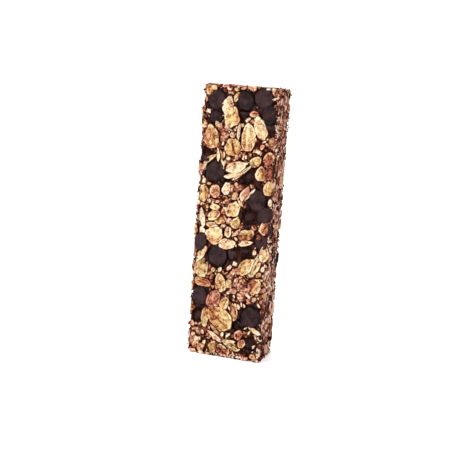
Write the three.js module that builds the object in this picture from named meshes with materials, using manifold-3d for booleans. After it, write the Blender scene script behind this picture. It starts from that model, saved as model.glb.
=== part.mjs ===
// A chewy granola bar with chocolate chips, standing on one cut end. Millimetres.
// +Z runs up the bar and -Y out of the broad face that the roller pressed. The origin is in the
// middle of the lower cut end. Rolled oats, oat bits, crisped rice and chocolate chips are bound by
// syrup into one mass, so the bar is one solid: a crumbly core with the pieces that show fused on.
import * as THREE from "three";
import { mergeVertices } from "three/addons/utils/BufferGeometryUtils.js";
import Module from "manifold-3d";

const WIDE = 27; // along X, between the two slitting knives
const THICK = 15.5; // along Y, from the belt to the roller
const TALL = 93; // along Z, between the two cuts of the guillotine
const CORE_DEPTH = 0.5; // how far the bound crumb lies under the pressed and cut faces
const CORE_ROUND = 0.5; // how far its edges have crumbled back
const CORE_ROUGH = 0.5; // how uneven it is
const CORE_STEP = 6.2; // the length of its facets
const OAT_THICK = 1.5; // a flake with the syrup that beds it
const CREASE_DEEP = 0.45; // the furrow along a flake
const SIDES = [5, 8]; // the fewest and the most round a piece, by its size
const CHIP_TALL = 0.72; // a chip's height for a base one across
const RAGGED = 0.09; // how uneven a piece's rim is, as a share of its radius
const SPACING = 0.72; // how close two scattered pieces may lie, as a share of their reaches
const SLIM = 3; // a flake of a table that is slimmer than this lies on top of its neighbours
const ON_TOP = 0.3; // and is sunk by this share of what the others are
const PRESSED = [0, 0.4]; // how far a piece lies under a face that the roller or the belt pressed
const CUT = [-0.6, -0.1]; // and how far it stands proud of one that a knife then cuts
const FLAT = [-10, 16]; // degrees that a piece under the roller leans
const TIPPED = [35, 75]; // the same for one that is tipped up
const TIPPED_SHARE = 0.35;
const ON_EDGE = [48, 90]; // the same for one that a knife cuts
const ASTRAY = [-40, 40]; // degrees that a cut piece is turned from the layers
const PLACE_SEED = 5; // sets how deep the placed pieces lie
const SHAPE_SEED = 131; // sets how uneven each piece is
const HAIR = 0.02; // the gap left where the skin would touch itself
const TRIES = 60; // how often a scattered piece looks for a free place

const wasm = await Module();
wasm.setup();

// Numbers from 0 to 1 that are the same at every build.
function drawer(seed) {
  let state = seed;
  return () => {
    state = (Math.imul(state, 1664525) + 1013904223) >>> 0;
    return state / 2 ** 32;
  };
}

const between = (draw, [low, high]) => low + (high - low) * draw();

// ---- Where the pieces lie -------------------------------------------------------------------

// Each face has its own right-handed frame: across, up, and out of the face. The roller lays the
// pieces flat, so on a face that a knife cuts the layers show edge on, at a turn of their own.
const HALF = [WIDE / 2, THICK / 2];
const FACES = {
  front: { wide: WIDE, tall: TALL, across: [1, 0, 0], up: [0, 0, 1], corner: [-HALF[0], -HALF[1], 0] },
  right: { wide: THICK, tall: TALL, across: [0, 1, 0], up: [0, 0, 1], corner: [HALF[0], -HALF[1], 0] },
  back: { wide: WIDE, tall: TALL, across: [-1, 0, 0], up: [0, 0, 1], corner: [HALF[0], HALF[1], 0] },
  left: { wide: THICK, tall: TALL, across: [0, -1, 0], up: [0, 0, 1], corner: [-HALF[0], HALF[1], 0] },
  top: { wide: WIDE, tall: THICK, across: [1, 0, 0], up: [0, 1, 0], corner: [-HALF[0], -HALF[1], TALL] },
  bottom: { wide: WIDE, tall: THICK, across: [1, 0, 0], up: [0, -1, 0], corner: [-HALF[0], HALF[1], 0] },
};
const LAYERS = { right: 0, left: 0, top: 90, bottom: 90 };

// The pieces that show best, on the pressed face. Across and up are from its lower left corner, and
// the turn is in degrees, clockwise from upright.
// Chips: how each lies (its base, its tip or its side outwards), across, up, width, length, turn.
const FRONT_CHIPS = [
  ["base", 5.3, 87.4, 6.2, 6.7, 11],
  ["base", 5.2, 81.8, 5.5, 4.2, 1],
  ["base", 15.2, 87.7, 5.8, 6.8, -10],
  ["side", 15.2, 82.8, 4.0, 4.2, 180],
  ["base", 21.4, 89.0, 7.0, 6.8, 20],
  ["base", 23.7, 83.9, 5.2, 6.9, -12],
  ["side", 24.4, 79.0, 4.2, 4.4, 175],
  ["side", 2.8, 68.4, 5.4, 5.0, 1],
  ["base", 6.3, 63.7, 6.9, 7.5, 20],
  ["side", 9.6, 61.5, 3.8, 4.1, 90],
  ["tip", 18.0, 63.1, 5.7, 6.2, 0],
  ["base", 21.8, 55.1, 6.1, 7.6, 4],
  ["tip", 19.3, 49.3, 5.6, 5.4, 0],
  ["base", 24.7, 50.6, 5.3, 6.1, 34],
  ["base", 2.7, 39.4, 4.4, 6.9, 12],
  ["base", 9.2, 35.0, 7.1, 7.8, 0],
  ["side", 14.6, 36.1, 4.9, 4.4, 79],
  ["tip", 18.4, 37.7, 5.7, 5.1, 0],
  ["base", 24.2, 41.5, 6.0, 4.7, 69],
  ["base", 3.8, 20.5, 5.7, 6.9, -9],
  ["side", 3.4, 13.9, 4.8, 4.6, -33],
  ["base", 22.4, 15.4, 7.4, 7.9, 28],
  ["side", 18.4, 11.9, 4.1, 4.5, 213],
  ["side", 22.9, 6.2, 4.5, 5.0, 18],
];
// Rolled oats: across, up, length, width, turn, and lean. The slim ones are flakes seen edge on.
const FRONT_OATS = [
  [3.2, 90.7, 4.6, 4.2, 21, 10],
  [9.2, 85.9, 6.5, 4.0, 19, 14],
  [12.0, 89.0, 4.3, 2.2, 26, -12],
  [10.8, 82.2, 7.8, 5.6, 4, -6],
  [4.1, 75.2, 8.7, 5.5, -7, 4],
  [17.1, 75.6, 9.7, 5.8, 0, 0],
  [20.9, 79.3, 8.6, 4.2, -24, 8],
  [18.6, 83.6, 3.6, 2.5, 80, 10],
  [11.8, 72.3, 6.7, 5.9, -20, 8],
  [13.6, 77.6, 6.2, 1.3, 3, -12],
  [4.1, 67.8, 6.2, 1.7, 52, -12],
  [7.0, 69.3, 5.2, 1.3, -7, -12],
  [8.4, 67.8, 6.9, 1.6, -13, -12],
  [13.5, 65.8, 8.1, 4.3, 70, -10],
  [12.8, 63.1, 7.1, 1.8, 72, -12],
  [15.7, 64.0, 8.9, 1.3, 50, -12],
  [20.1, 67.9, 4.4, 3.9, 40, 12],
  [24.4, 69.6, 5.1, 4.2, 29, -10],
  [22.4, 64.2, 5.6, 4.0, 0, 16],
  [25.3, 64.8, 5.2, 3.9, 14, 0],
  [25.4, 59.6, 5.6, 3.8, 7, 12],
  [6.8, 57.0, 4.8, 4.3, 10, 0],
  [10.5, 58.2, 5.1, 3.5, 25, -10],
  [17.2, 57.2, 6.2, 2.8, 29, -10],
  [2.5, 55.9, 6.7, 3.8, 5, -8],
  [13.5, 51.4, 6.5, 4.7, 24, 0],
  [7.1, 51.6, 3.9, 2.7, 90, 10],
  [6.9, 49.0, 5.5, 3.5, 61, -12],
  [9.4, 47.6, 4.9, 3.5, 69, -8],
  [6.3, 45.6, 5.1, 1.9, 84, -12],
  [14.7, 46.9, 4.2, 3.8, 39, 10],
  [25.3, 46.4, 5.6, 4.5, 29, 0],
  [2.9, 47.8, 7.4, 1.9, -11, 10],
  [3.2, 42.3, 5.3, 2.5, -3, 8],
  [7.4, 42.1, 7.0, 6.2, 49, 0],
  [12.2, 43.6, 4.3, 3.0, 0, -8],
  [12.2, 39.5, 6.3, 4.1, 83, 0],
  [18.6, 43.2, 6.6, 4.3, 65, 12],
  [18.6, 40.6, 6.1, 2.0, 77, -12],
  [15.3, 43.7, 4.4, 1.5, 47, -12],
  [3.3, 35.2, 7.1, 2.8, 35, -12],
  [3.6, 30.5, 8.0, 5.2, -3, 14],
  [4.2, 25.4, 7.3, 3.3, 100, -12],
  [10.7, 25.9, 6.8, 4.5, -15, 0],
  [19.4, 32.6, 8.2, 4.7, 42, 0],
  [22.8, 33.3, 9.7, 3.2, 23, 8],
  [25.4, 37.7, 5.9, 3.7, 3, 8],
  [22.8, 26.1, 6.4, 5.2, 28, 0],
  [8.9, 20.2, 7.4, 4.8, 23, 8],
  [12.7, 18.9, 5.3, 3.5, 19, 0],
  [16.1, 16.4, 7.2, 3.5, 0, -8],
  [6.2, 13.3, 7.7, 2.7, 1, 8],
  [11.6, 13.3, 10.9, 7.7, -51, 0],
  [5.8, 9.0, 4.6, 3.1, 10, 10],
  [9.9, 7.2, 6.9, 1.6, -57, 12],
  [18.5, 8.7, 4.3, 3.3, 28, 0],
  [15.3, 6.0, 5.9, 1.3, 87, -12],
  [16.4, 4.2, 6.5, 1.6, -69, 12],
  [20.0, 5.9, 3.9, 3.0, 28, 0],
  [24.3, 11.0, 5.7, 1.8, -63, 12],
  [9.8, 3.1, 4.8, 4.0, 38, 10],
  [13.4, 2.5, 5.5, 4.4, -59, 20],
];
// Patches of crisped rice: across, up, radius, number of grains.
const FRONT_CRISPS = [
  [8.4, 77.0, 2.4, 3],
  [13.7, 57.6, 2.4, 3],
  [15.5, 29.1, 2.2, 2],
  [17.5, 23.7, 3.0, 4],
  [2.6, 7.4, 2.2, 2],
];

// What the bar stands on: a cut chip in the middle of the lower end, a cut flake near each corner.
const BOTTOM_CHIPS = [["base", 13.5, 7.8, 7.2, 7.6, 20]];
const BOTTOM_OATS = [
  [4.2, 4.0, 6.6, 4.6, 70, 24],
  [22.6, 4.4, 6.8, 4.8, 110, 30],
  [4.6, 11.8, 6.2, 4.8, 95, 26],
  [22.4, 11.6, 7.0, 4.6, 80, 34],
];

// What is scattered over each face, the largest first: how many, and the shortest and longest.
const RECIPES = {
  front: { seed: 11, chips: [0, 0, 0], oats: [0, 0, 0], crisps: [1, 3, 4.4], bits: [3, 2.6, 3.6] },
  right: { seed: 23, chips: [6, 4.6, 6], oats: [14, 4.8, 7.4], crisps: [9, 3.4, 4.8], bits: [8, 2.4, 3.6] },
  back: { seed: 37, chips: [12, 5.4, 7.4], oats: [19, 6, 9.6], crisps: [3, 3.6, 5], bits: [4, 2.6, 3.6] },
  left: { seed: 41, chips: [6, 4.6, 6], oats: [13, 4.8, 7.4], crisps: [7, 3.4, 4.8], bits: [7, 2.4, 3.6] },
  top: { seed: 59, chips: [2, 4.6, 6], oats: [5, 4.4, 7], crisps: [1, 3, 4.4], bits: [2, 2.2, 3] },
  bottom: { seed: 61, chips: [1, 4.6, 6], oats: [2, 4.4, 7], crisps: [1, 3, 4.4], bits: [2, 2.2, 3] },
};
const SLIMMEST = { chip: 0.86, oat: 0.6, crisp: 0.56, bit: 0.66 }; // the least width for a length of one
const LIES = ["base", "base", "side", "tip"];

// The pieces of a face's own table, each sunk a little under its face, or standing proud of it.
function placed(chips, oats, sink, draw) {
  return [
    ...chips.map(([lie, across, up, wide, long, turn]) => ({
      kind: "chip", lie, across, up, wide, long, turn, lean: 0, sink: between(draw, sink),
    })),
    ...oats.map(([across, up, long, wide, turn, lean]) => ({
      kind: "oat", across, up, wide, long, turn, lean,
      sink: between(draw, sink) * (wide < SLIM ? ON_TOP : 1),
    })),
  ];
}

function crispPatches(draw) {
  return FRONT_CRISPS.flatMap(([across, up, radius, number]) =>
    Array.from({ length: number }, (_, i) => {
      const way = ((i + 0.5 * draw()) / number) * 2 * Math.PI;
      const long = between(draw, [3.2, 4.6]);
      return {
        kind: "crisp",
        across: across + 0.7 * radius * Math.cos(way),
        up: up + 0.7 * radius * Math.sin(way),
        wide: 0.62 * long, long, turn: 180 * draw(), lean: 0, sink: 0.3 * draw(),
      };
    }),
  );
}

const reach = (piece) => (piece.long + piece.wide) / 4;

// How a scattered piece lies: flat or tipped up under the roller, edge on where a knife cuts it.
function lay(name, draw) {
  if (name in LAYERS) {
    const turn = LAYERS[name] + between(draw, ASTRAY);
    return { turn, lean: between(draw, ON_EDGE), sink: between(draw, CUT) };
  }
  const leans = draw() < TIPPED_SHARE ? TIPPED : FLAT;
  return { turn: 360 * draw(), lean: between(draw, leans), sink: between(draw, PRESSED) };
}

// Puts a face's scattered pieces in the free places between those it already has.
function scattered(name, already) {
  const face = FACES[name];
  const recipe = RECIPES[name];
  const draw = drawer(recipe.seed);
  const pieces = [...already];
  const spread = (kind, [count, shortest, longest]) => {
    for (let n = 0; n < count; n++) {
      for (let go = 0; go < TRIES; go++) {
        const long = between(draw, [shortest, longest]);
        const piece = {
          kind, long,
          lie: LIES[Math.floor(4 * draw())],
          across: face.wide * draw(),
          up: face.tall * draw(),
          wide: long * between(draw, [SLIMMEST[kind], SLIMMEST[kind] + 0.2]),
          ...lay(name, draw),
        };
        if (kind === "chip") piece.lean = 0;
        const clear = (other) =>
          Math.hypot(other.across - piece.across, other.up - piece.up) >
          SPACING * (reach(other) + reach(piece));
        if (pieces.every(clear)) {
          pieces.push(piece);
          break;
        }
      }
    }
  };
  spread("chip", recipe.chips);
  spread("oat", recipe.oats);
  spread("crisp", recipe.crisps);
  spread("bit", recipe.bits);
  return pieces;
}

// ---- The pieces' own shapes, each with its outer side along +Z --------------------------------

// Merges a geometry's doubled vertices and moves each one by a rule.
function shaped(geometry, rule) {
  geometry.deleteAttribute("normal");
  geometry.deleteAttribute("uv");
  const merged = mergeVertices(geometry, 1e-4);
  const position = merged.attributes.position;
  const p = new THREE.Vector3();
  for (let i = 0; i < position.count; i++) {
    rule(p.fromBufferAttribute(position, i), i);
    position.setXYZ(i, p.x, p.y, p.z);
  }
  return merged;
}

// A round body from a profile of radius and height, with its axis along Z. It has a side for each
// millimetre of the piece's length.
function turned(profile, long) {
  const points = profile.map(([radius, height]) => new THREE.Vector2(radius, height));
  const sides = THREE.MathUtils.clamp(Math.round(long), ...SIDES);
  return new THREE.LatheGeometry(points, sides).rotateX(Math.PI / 2);
}

// A rolled oat: an oval flake with a ragged rim and a furrow along its length. A slim one has fewer
// sides, so that none of them is too short.
function oatFlake({ wide, long }, draw) {
  const flake = turned([[0, -0.5], [1, -0.1], [0.86, 0.5], [0, 0.5]], Math.min(long, 3 * wide));
  return shaped(flake, (p) => {
    const upper = p.z > 0.4;
    const furrow = upper ? CREASE_DEEP * Math.exp(-((p.x / 0.42) ** 2)) : 0;
    const rim = 1 + RAGGED * (2 * draw() - 1);
    const taper = 1 - 0.12 * p.y;
    const height = OAT_THICK * (p.z - 0.5) - furrow;
    p.set(0.5 * wide * rim * taper * p.x, 0.5 * long * rim * p.y, height);
  });
}

// A chocolate chip: a flat base and a drawn-up tip. It lies on its base, its tip or its side.
function chip({ wide, long, lie }, draw) {
  const tall = CHIP_TALL * wide;
  const drop = turned([[0, 0], [0.92, 0], [1, 0.18], [0.5, 0.64], [0, 1]], long);
  const upright = shaped(drop, (p) => {
    const rim = 1 + 0.4 * RAGGED * (2 * draw() - 1);
    p.set(0.5 * wide * rim * p.x, 0.5 * (lie === "side" ? wide : long) * rim * p.y, tall * p.z);
  });
  if (lie === "base") return upright.rotateX(Math.PI);
  if (lie === "tip") return upright.translate(0, 0, -0.6 * tall);
  return upright.rotateX(-Math.PI / 2).translate(0, -0.45 * tall, -0.34 * wide);
}

// A grain of crisped rice: a blistered oval puff.
function crispGrain({ wide, long }, draw) {
  return shaped(new THREE.IcosahedronGeometry(1, 0), (p) => {
    const blister = 1 + 1.6 * RAGGED * (2 * draw() - 1);
    const height = 0.5 * wide * blister * p.y - 0.4 * wide;
    p.set(0.5 * wide * blister * p.x, 0.5 * long * blister * p.z, height);
  });
}

// A broken bit of oat: an uneven block.
function oatBit({ wide, long }, draw) {
  return shaped(new THREE.BoxGeometry(1.5, 1.5, 1.5), (p) => {
    const rim = 1 + 2 * RAGGED * (2 * draw() - 1);
    p.set(0.5 * wide * rim * p.x, 0.5 * long * rim * p.y, 0.42 * wide * rim * p.z - 0.3 * wide);
  });
}

const MAKERS = { chip, oat: oatFlake, crisp: crispGrain, bit: oatBit };

// The crumb that binds the pieces: a block whose edges have crumbled back and whose sides roll.
function core() {
  const half = new THREE.Vector3(WIDE, THICK, TALL).multiplyScalar(0.5).subScalar(CORE_DEPTH);
  const steps = half.toArray().map((size) => Math.round((2 * size) / CORE_STEP));
  const block = new THREE.BoxGeometry(2 * half.x, 2 * half.y, 2 * half.z, ...steps);
  return shaped(block, (p) => {
    const corner = Math.hypot(p.x / half.x, p.y / half.y) ** 8 / 2 ** 4;
    const waves = [1.1 * p.z + 0.7 * p.x, 0.83 * p.z - 1.3 * p.y + 2, 1.9 * p.x + p.y];
    const roll = waves.reduce((sum, wave) => sum + Math.sin(wave), 0) / waves.length;
    const inwards = CORE_ROUND * corner + CORE_ROUGH * (0.5 + roll);
    const drawnIn = half.clone().subScalar(inwards).divide(half);
    p.multiply(drawnIn).setZ(p.z + TALL / 2);
  });
}

// ---- Joining ---------------------------------------------------------------------------------

// The solid of a closed geometry, without the empty triangles that a pole leaves.
function solid(geometry) {
  const merged = mergeVertices(geometry, 1e-4);
  const corners = merged.index.array;
  const triangles = [];
  for (let i = 0; i < corners.length; i += 3) {
    const [a, b, c] = corners.slice(i, i + 3);
    if (a !== b && b !== c && c !== a) triangles.push(a, b, c);
  }
  return new wasm.Manifold(
    new wasm.Mesh({
      numProp: 3,
      vertProperties: new Float32Array(merged.attributes.position.array),
      triVerts: new Uint32Array(triangles),
    }),
  );
}

// Lays a piece on its face: turned, leaned, and sunk under the plane of the face.
function laid(geometry, piece, face) {
  const across = new THREE.Vector3(...face.across);
  const up = new THREE.Vector3(...face.up);
  const frame = new THREE.Matrix4().makeBasis(across, up, across.clone().cross(up));
  const turn = new THREE.Matrix4().makeRotationZ(-THREE.MathUtils.degToRad(piece.turn));
  const lean = new THREE.Matrix4().makeRotationY(THREE.MathUtils.degToRad(piece.lean));
  geometry.applyMatrix4(lean);
  geometry.computeBoundingBox();
  geometry.translate(0, 0, -geometry.boundingBox.max.z - piece.sink);
  geometry.applyMatrix4(turn).translate(piece.across, piece.up, 0);
  return geometry.applyMatrix4(frame).translate(...face.corner);
}

function joinedBar() {
  const draw = drawer(PLACE_SEED);
  const already = {
    front: [...placed(FRONT_CHIPS, FRONT_OATS, PRESSED, draw), ...crispPatches(draw)],
    bottom: placed(BOTTOM_CHIPS, BOTTOM_OATS, CUT, draw),
  };
  const shapes = Object.entries(FACES).flatMap(([name, face], index) => {
    const uneven = drawer(SHAPE_SEED + index);
    return scattered(name, already[name] ?? []).map((piece) =>
      solid(laid(MAKERS[piece.kind](piece, uneven), piece, face)),
    );
  });
  const fused = shapes.reduce((mass, shape) => mass.add(shape), solid(core()));
  // The roller, the belt, the knives and the guillotine leave nothing outside these six planes.
  const planes = new THREE.BoxGeometry(WIDE, THICK, TALL).translate(0, 0, TALL / 2);
  planes.deleteAttribute("normal");
  planes.deleteAttribute("uv");
  const trimmed = fused.intersect(solid(planes)).simplify(HAIR);
  // Only the outer skin is kept, which fills sealed hollows and drops loose scraps.
  return trimmed.decompose().reduce((most, body) => (body.volume() > most.volume() ? body : most));
}

// The body's mesh. Where its skin touches itself, the touching points are drawn apart by a hair.
function meshOf(body) {
  const { vertProperties, triVerts } = body.getMesh();
  const points = new THREE.BufferAttribute(vertProperties, 3);
  const at = (i) => new THREE.Vector3().fromBufferAttribute(points, i);
  const place = (i) => at(i).toArray().map((size) => size.toFixed(3)).join();
  const count = new Map();
  const around = Array.from({ length: points.count }, () => new THREE.Vector3());
  for (let i = 0; i < points.count; i++) count.set(place(i), (count.get(place(i)) ?? 0) + 1);
  triVerts.forEach((i, n) => {
    const next = triVerts[n % 3 === 2 ? n - 2 : n + 1];
    around[i].add(at(next).sub(at(i)));
  });
  const touching = around.map((_, i) => count.get(place(i)) > 1);
  around.forEach((way, i) => {
    if (touching[i]) points.setXYZ(i, ...at(i).add(way.setLength(HAIR)));
  });
  const geometry = new THREE.BufferGeometry().setAttribute("position", points);
  return geometry.setIndex(new THREE.BufferAttribute(triVerts, 1));
}

const crumb = new THREE.MeshStandardMaterial({ color: 0x9c6238, roughness: 0.6, metalness: 0 });
const bar = new THREE.Mesh(meshOf(joinedBar()), crumb);
bar.name = "bar";

const granolaBar = new THREE.Group();
granolaBar.name = "granola_bar";
granolaBar.add(bar);

export default granolaBar;
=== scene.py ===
"""A chewy granola bar with chocolate chips, standing on one cut end.

Rolled oats, oat bits, crisped rice and chocolate chips are bound by syrup into one mass. Each kind
of piece is one object, in metres. The sizes below are in millimetres, turns and leans in degrees.
"""

import math

import bmesh
import bpy
import numpy as np
from mathutils import Matrix, Vector, noise
from mathutils.kdtree import KDTree


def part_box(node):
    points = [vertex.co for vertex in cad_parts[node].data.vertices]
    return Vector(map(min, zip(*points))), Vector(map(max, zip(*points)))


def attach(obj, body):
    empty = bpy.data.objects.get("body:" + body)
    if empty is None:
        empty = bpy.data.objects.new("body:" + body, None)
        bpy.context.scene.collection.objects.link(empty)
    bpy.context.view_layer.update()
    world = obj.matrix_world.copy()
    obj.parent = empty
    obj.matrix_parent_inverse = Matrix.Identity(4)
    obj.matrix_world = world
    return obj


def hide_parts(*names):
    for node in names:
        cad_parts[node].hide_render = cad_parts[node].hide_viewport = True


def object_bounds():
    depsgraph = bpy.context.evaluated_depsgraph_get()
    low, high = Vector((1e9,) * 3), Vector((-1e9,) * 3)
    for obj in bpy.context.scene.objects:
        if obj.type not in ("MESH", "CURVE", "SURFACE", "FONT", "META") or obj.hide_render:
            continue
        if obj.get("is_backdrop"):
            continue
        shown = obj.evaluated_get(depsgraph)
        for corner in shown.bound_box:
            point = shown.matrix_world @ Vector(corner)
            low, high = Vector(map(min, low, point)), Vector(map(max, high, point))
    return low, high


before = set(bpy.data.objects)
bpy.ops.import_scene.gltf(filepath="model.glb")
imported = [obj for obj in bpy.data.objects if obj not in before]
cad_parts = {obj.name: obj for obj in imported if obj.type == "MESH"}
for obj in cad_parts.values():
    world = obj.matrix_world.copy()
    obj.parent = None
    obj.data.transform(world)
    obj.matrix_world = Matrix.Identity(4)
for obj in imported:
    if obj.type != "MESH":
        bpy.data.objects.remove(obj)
CAD_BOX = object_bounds()

MM = 0.001
LOW, HIGH = (np.array(corner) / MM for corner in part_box("bar"))
WIDE, THICK, TALL = HIGH - LOW
MIDDLE = Vector((0, 0, TALL * MM / 2))  # in metres

# ---- How the pieces lie ----------------------------------------------------------------------

PRESSED = (0, 0.4)  # how far a piece lies under a face that the roller or the belt pressed
CUT = (-0.6, -0.1)  # and how far it stands proud of one that a knife then cuts
FLAT = (-10, 16)  # how a piece under the roller leans
TIPPED = (35, 75)
TIPPED_SHARE = 0.35
ON_EDGE = (48, 90)  # how a piece that a knife cuts leans
ASTRAY = (-40, 40)  # how far a cut piece is turned from the layers
SPACING = 0.72
SLIM = 3  # a flake of a table that is slimmer than this lies on top of its neighbours
ON_TOP = 0.3  # and is sunk by this share of what the others are
TRIES = 60
CRISP_LONG, CRISP_WIDE = (3.2, 4.6), 0.62  # a patch's grains, and their width for a length of one
CRISP_RING, CRISP_SINK = 0.7, 0.3  # they lie so far out in the patch, and up to so deep
PLACE_SEED = 5

# Each face: its width and height, its across and up directions, and its lower left corner.
FACES = {
    "front": (WIDE, TALL, (1, 0, 0), (0, 0, 1), (LOW[0], LOW[1], LOW[2])),
    "right": (THICK, TALL, (0, 1, 0), (0, 0, 1), (HIGH[0], LOW[1], LOW[2])),
    "back": (WIDE, TALL, (-1, 0, 0), (0, 0, 1), (HIGH[0], HIGH[1], LOW[2])),
    "left": (THICK, TALL, (0, -1, 0), (0, 0, 1), (LOW[0], HIGH[1], LOW[2])),
    "top": (WIDE, THICK, (1, 0, 0), (0, 1, 0), (LOW[0], LOW[1], HIGH[2])),
    "bottom": (WIDE, THICK, (1, 0, 0), (0, -1, 0), (LOW[0], HIGH[1], LOW[2])),
}
LAYERS = {"right": 0, "left": 0, "top": 90, "bottom": 90}

# Chips: how each lies, across, up, width, length, turn.
FRONT_CHIPS = [
    ("base", 5.3, 87.4, 6.2, 6.7, 11), ("base", 5.2, 81.8, 5.5, 4.2, 1),
    ("base", 15.2, 87.7, 5.8, 6.8, -10), ("side", 15.2, 82.8, 4.0, 4.2, 180),
    ("base", 21.4, 89.0, 7.0, 6.8, 20), ("base", 23.7, 83.9, 5.2, 6.9, -12),
    ("side", 24.4, 79.0, 4.2, 4.4, 175), ("side", 2.8, 68.4, 5.4, 5.0, 1),
    ("base", 6.3, 63.7, 6.9, 7.5, 20), ("side", 9.6, 61.5, 3.8, 4.1, 90), ("tip", 18.0, 63.1, 5.7, 6.2, 0),
    ("base", 21.8, 55.1, 6.1, 7.6, 4), ("tip", 19.3, 49.3, 5.6, 5.4, 0),
    ("base", 24.7, 50.6, 5.3, 6.1, 34), ("base", 2.7, 39.4, 4.4, 6.9, 12),
    ("base", 9.2, 35.0, 7.1, 7.8, 0), ("side", 14.6, 36.1, 4.9, 4.4, 79), ("tip", 18.4, 37.7, 5.7, 5.1, 0),
    ("base", 24.2, 41.5, 6.0, 4.7, 69), ("base", 3.8, 20.5, 5.7, 6.9, -9),
    ("side", 3.4, 13.9, 4.8, 4.6, -33), ("base", 22.4, 15.4, 7.4, 7.9, 28),
    ("side", 18.4, 11.9, 4.1, 4.5, 213), ("side", 22.9, 6.2, 4.5, 5.0, 18),
]  # fmt: skip

# How toasted a piece is, and how rosy the syrup has made it.
TONES = {
    "cream": (0.05, 0.15),
    "pale": (0.13, 0.15),
    "yellow": (0.2, 0.0),
    "gold": (0.3, 0.15),
    "orange": (0.36, 0.5),
    "tan": (0.28, 0.6),
    "rosy": (0.34, 0.8),
    "red": (0.5, 1.0),
}

# Rolled oats: across, up, length, width, turn, lean, tone.
FRONT_OATS = [
    (3.2, 90.7, 4.6, 4.2, 21, 10, "gold"), (9.2, 85.9, 6.5, 4.0, 19, 14, "cream"),
    (12.0, 89.0, 4.3, 2.2, 26, -12, "yellow"), (10.8, 82.2, 7.8, 5.6, 4, -6, "yellow"),
    (4.1, 75.2, 8.7, 5.5, -7, 4, "gold"), (17.1, 75.6, 9.7, 5.8, 0, 0, "yellow"),
    (20.9, 79.3, 8.6, 4.2, -24, 8, "pale"), (18.6, 83.6, 3.6, 2.5, 80, 10, "rosy"),
    (11.8, 72.3, 6.7, 5.9, -20, 8, "yellow"), (13.6, 77.6, 6.2, 1.3, 3, -12, "cream"),
    (4.1, 67.8, 6.2, 1.7, 52, -12, "pale"), (7.0, 69.3, 5.2, 1.3, -7, -12, "pale"),
    (8.4, 67.8, 6.9, 1.6, -13, -12, "pale"), (13.5, 65.8, 8.1, 4.3, 70, -10, "pale"),
    (12.8, 63.1, 7.1, 1.8, 72, -12, "yellow"), (15.7, 64.0, 8.9, 1.3, 50, -12, "pale"),
    (20.1, 67.9, 4.4, 3.9, 40, 12, "yellow"), (24.4, 69.6, 5.1, 4.2, 29, -10, "orange"),
    (22.4, 64.2, 5.6, 4.0, 0, 16, "gold"), (25.3, 64.8, 5.2, 3.9, 14, 0, "red"),
    (25.4, 59.6, 5.6, 3.8, 7, 12, "gold"), (6.8, 57.0, 4.8, 4.3, 10, 0, "tan"),
    (10.5, 58.2, 5.1, 3.5, 25, -10, "cream"), (17.2, 57.2, 6.2, 2.8, 29, -10, "tan"),
    (2.5, 55.9, 6.7, 3.8, 5, -8, "gold"), (13.5, 51.4, 6.5, 4.7, 24, 0, "yellow"),
    (7.1, 51.6, 3.9, 2.7, 90, 10, "yellow"), (6.9, 49.0, 5.5, 3.5, 61, -12, "yellow"),
    (9.4, 47.6, 4.9, 3.5, 69, -8, "orange"), (6.3, 45.6, 5.1, 1.9, 84, -12, "yellow"),
    (14.7, 46.9, 4.2, 3.8, 39, 10, "yellow"), (25.3, 46.4, 5.6, 4.5, 29, 0, "orange"),
    (2.9, 47.8, 7.4, 1.9, -11, 10, "cream"), (3.2, 42.3, 5.3, 2.5, -3, 8, "cream"),
    (7.4, 42.1, 7.0, 6.2, 49, 0, "yellow"), (12.2, 43.6, 4.3, 3.0, 0, -8, "cream"),
    (12.2, 39.5, 6.3, 4.1, 83, 0, "pale"), (18.6, 43.2, 6.6, 4.3, 65, 12, "gold"),
    (18.6, 40.6, 6.1, 2.0, 77, -12, "pale"), (15.3, 43.7, 4.4, 1.5, 47, -12, "tan"),
    (3.3, 35.2, 7.1, 2.8, 35, -12, "pale"), (3.6, 30.5, 8.0, 5.2, -3, 14, "yellow"),
    (4.2, 25.4, 7.3, 3.3, 100, -12, "orange"), (10.7, 25.9, 6.8, 4.5, -15, 0, "yellow"),
    (19.4, 32.6, 8.2, 4.7, 42, 0, "gold"), (22.8, 33.3, 9.7, 3.2, 23, 8, "cream"),
    (25.4, 37.7, 5.9, 3.7, 3, 8, "yellow"), (22.8, 26.1, 6.4, 5.2, 28, 0, "tan"),
    (8.9, 20.2, 7.4, 4.8, 23, 8, "rosy"), (12.7, 18.9, 5.3, 3.5, 19, 0, "gold"),
    (16.1, 16.4, 7.2, 3.5, 0, -8, "gold"), (6.2, 13.3, 7.7, 2.7, 1, 8, "gold"),
    (11.6, 13.3, 10.9, 7.7, -51, 0, "gold"), (5.8, 9.0, 4.6, 3.1, 10, 10, "red"),
    (9.9, 7.2, 6.9, 1.6, -57, 12, "cream"), (18.5, 8.7, 4.3, 3.3, 28, 0, "rosy"),
    (15.3, 6.0, 5.9, 1.3, 87, -12, "yellow"), (16.4, 4.2, 6.5, 1.6, -69, 12, "yellow"),
    (20.0, 5.9, 3.9, 3.0, 28, 0, "orange"), (24.3, 11.0, 5.7, 1.8, -63, 12, "pale"),
    (9.8, 3.1, 4.8, 4.0, 38, 10, "gold"), (13.4, 2.5, 5.5, 4.4, -59, 20, "rosy"),
]  # fmt: skip
# Patches of crisped rice: across, up, radius, number of grains.
FRONT_CRISPS = [
    (8.4, 77.0, 2.4, 3), (13.7, 57.6, 2.4, 3), (15.5, 29.1, 2.2, 2), (17.5, 23.7, 3.0, 4),
    (2.6, 7.4, 2.2, 2),
]  # fmt: skip
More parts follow.
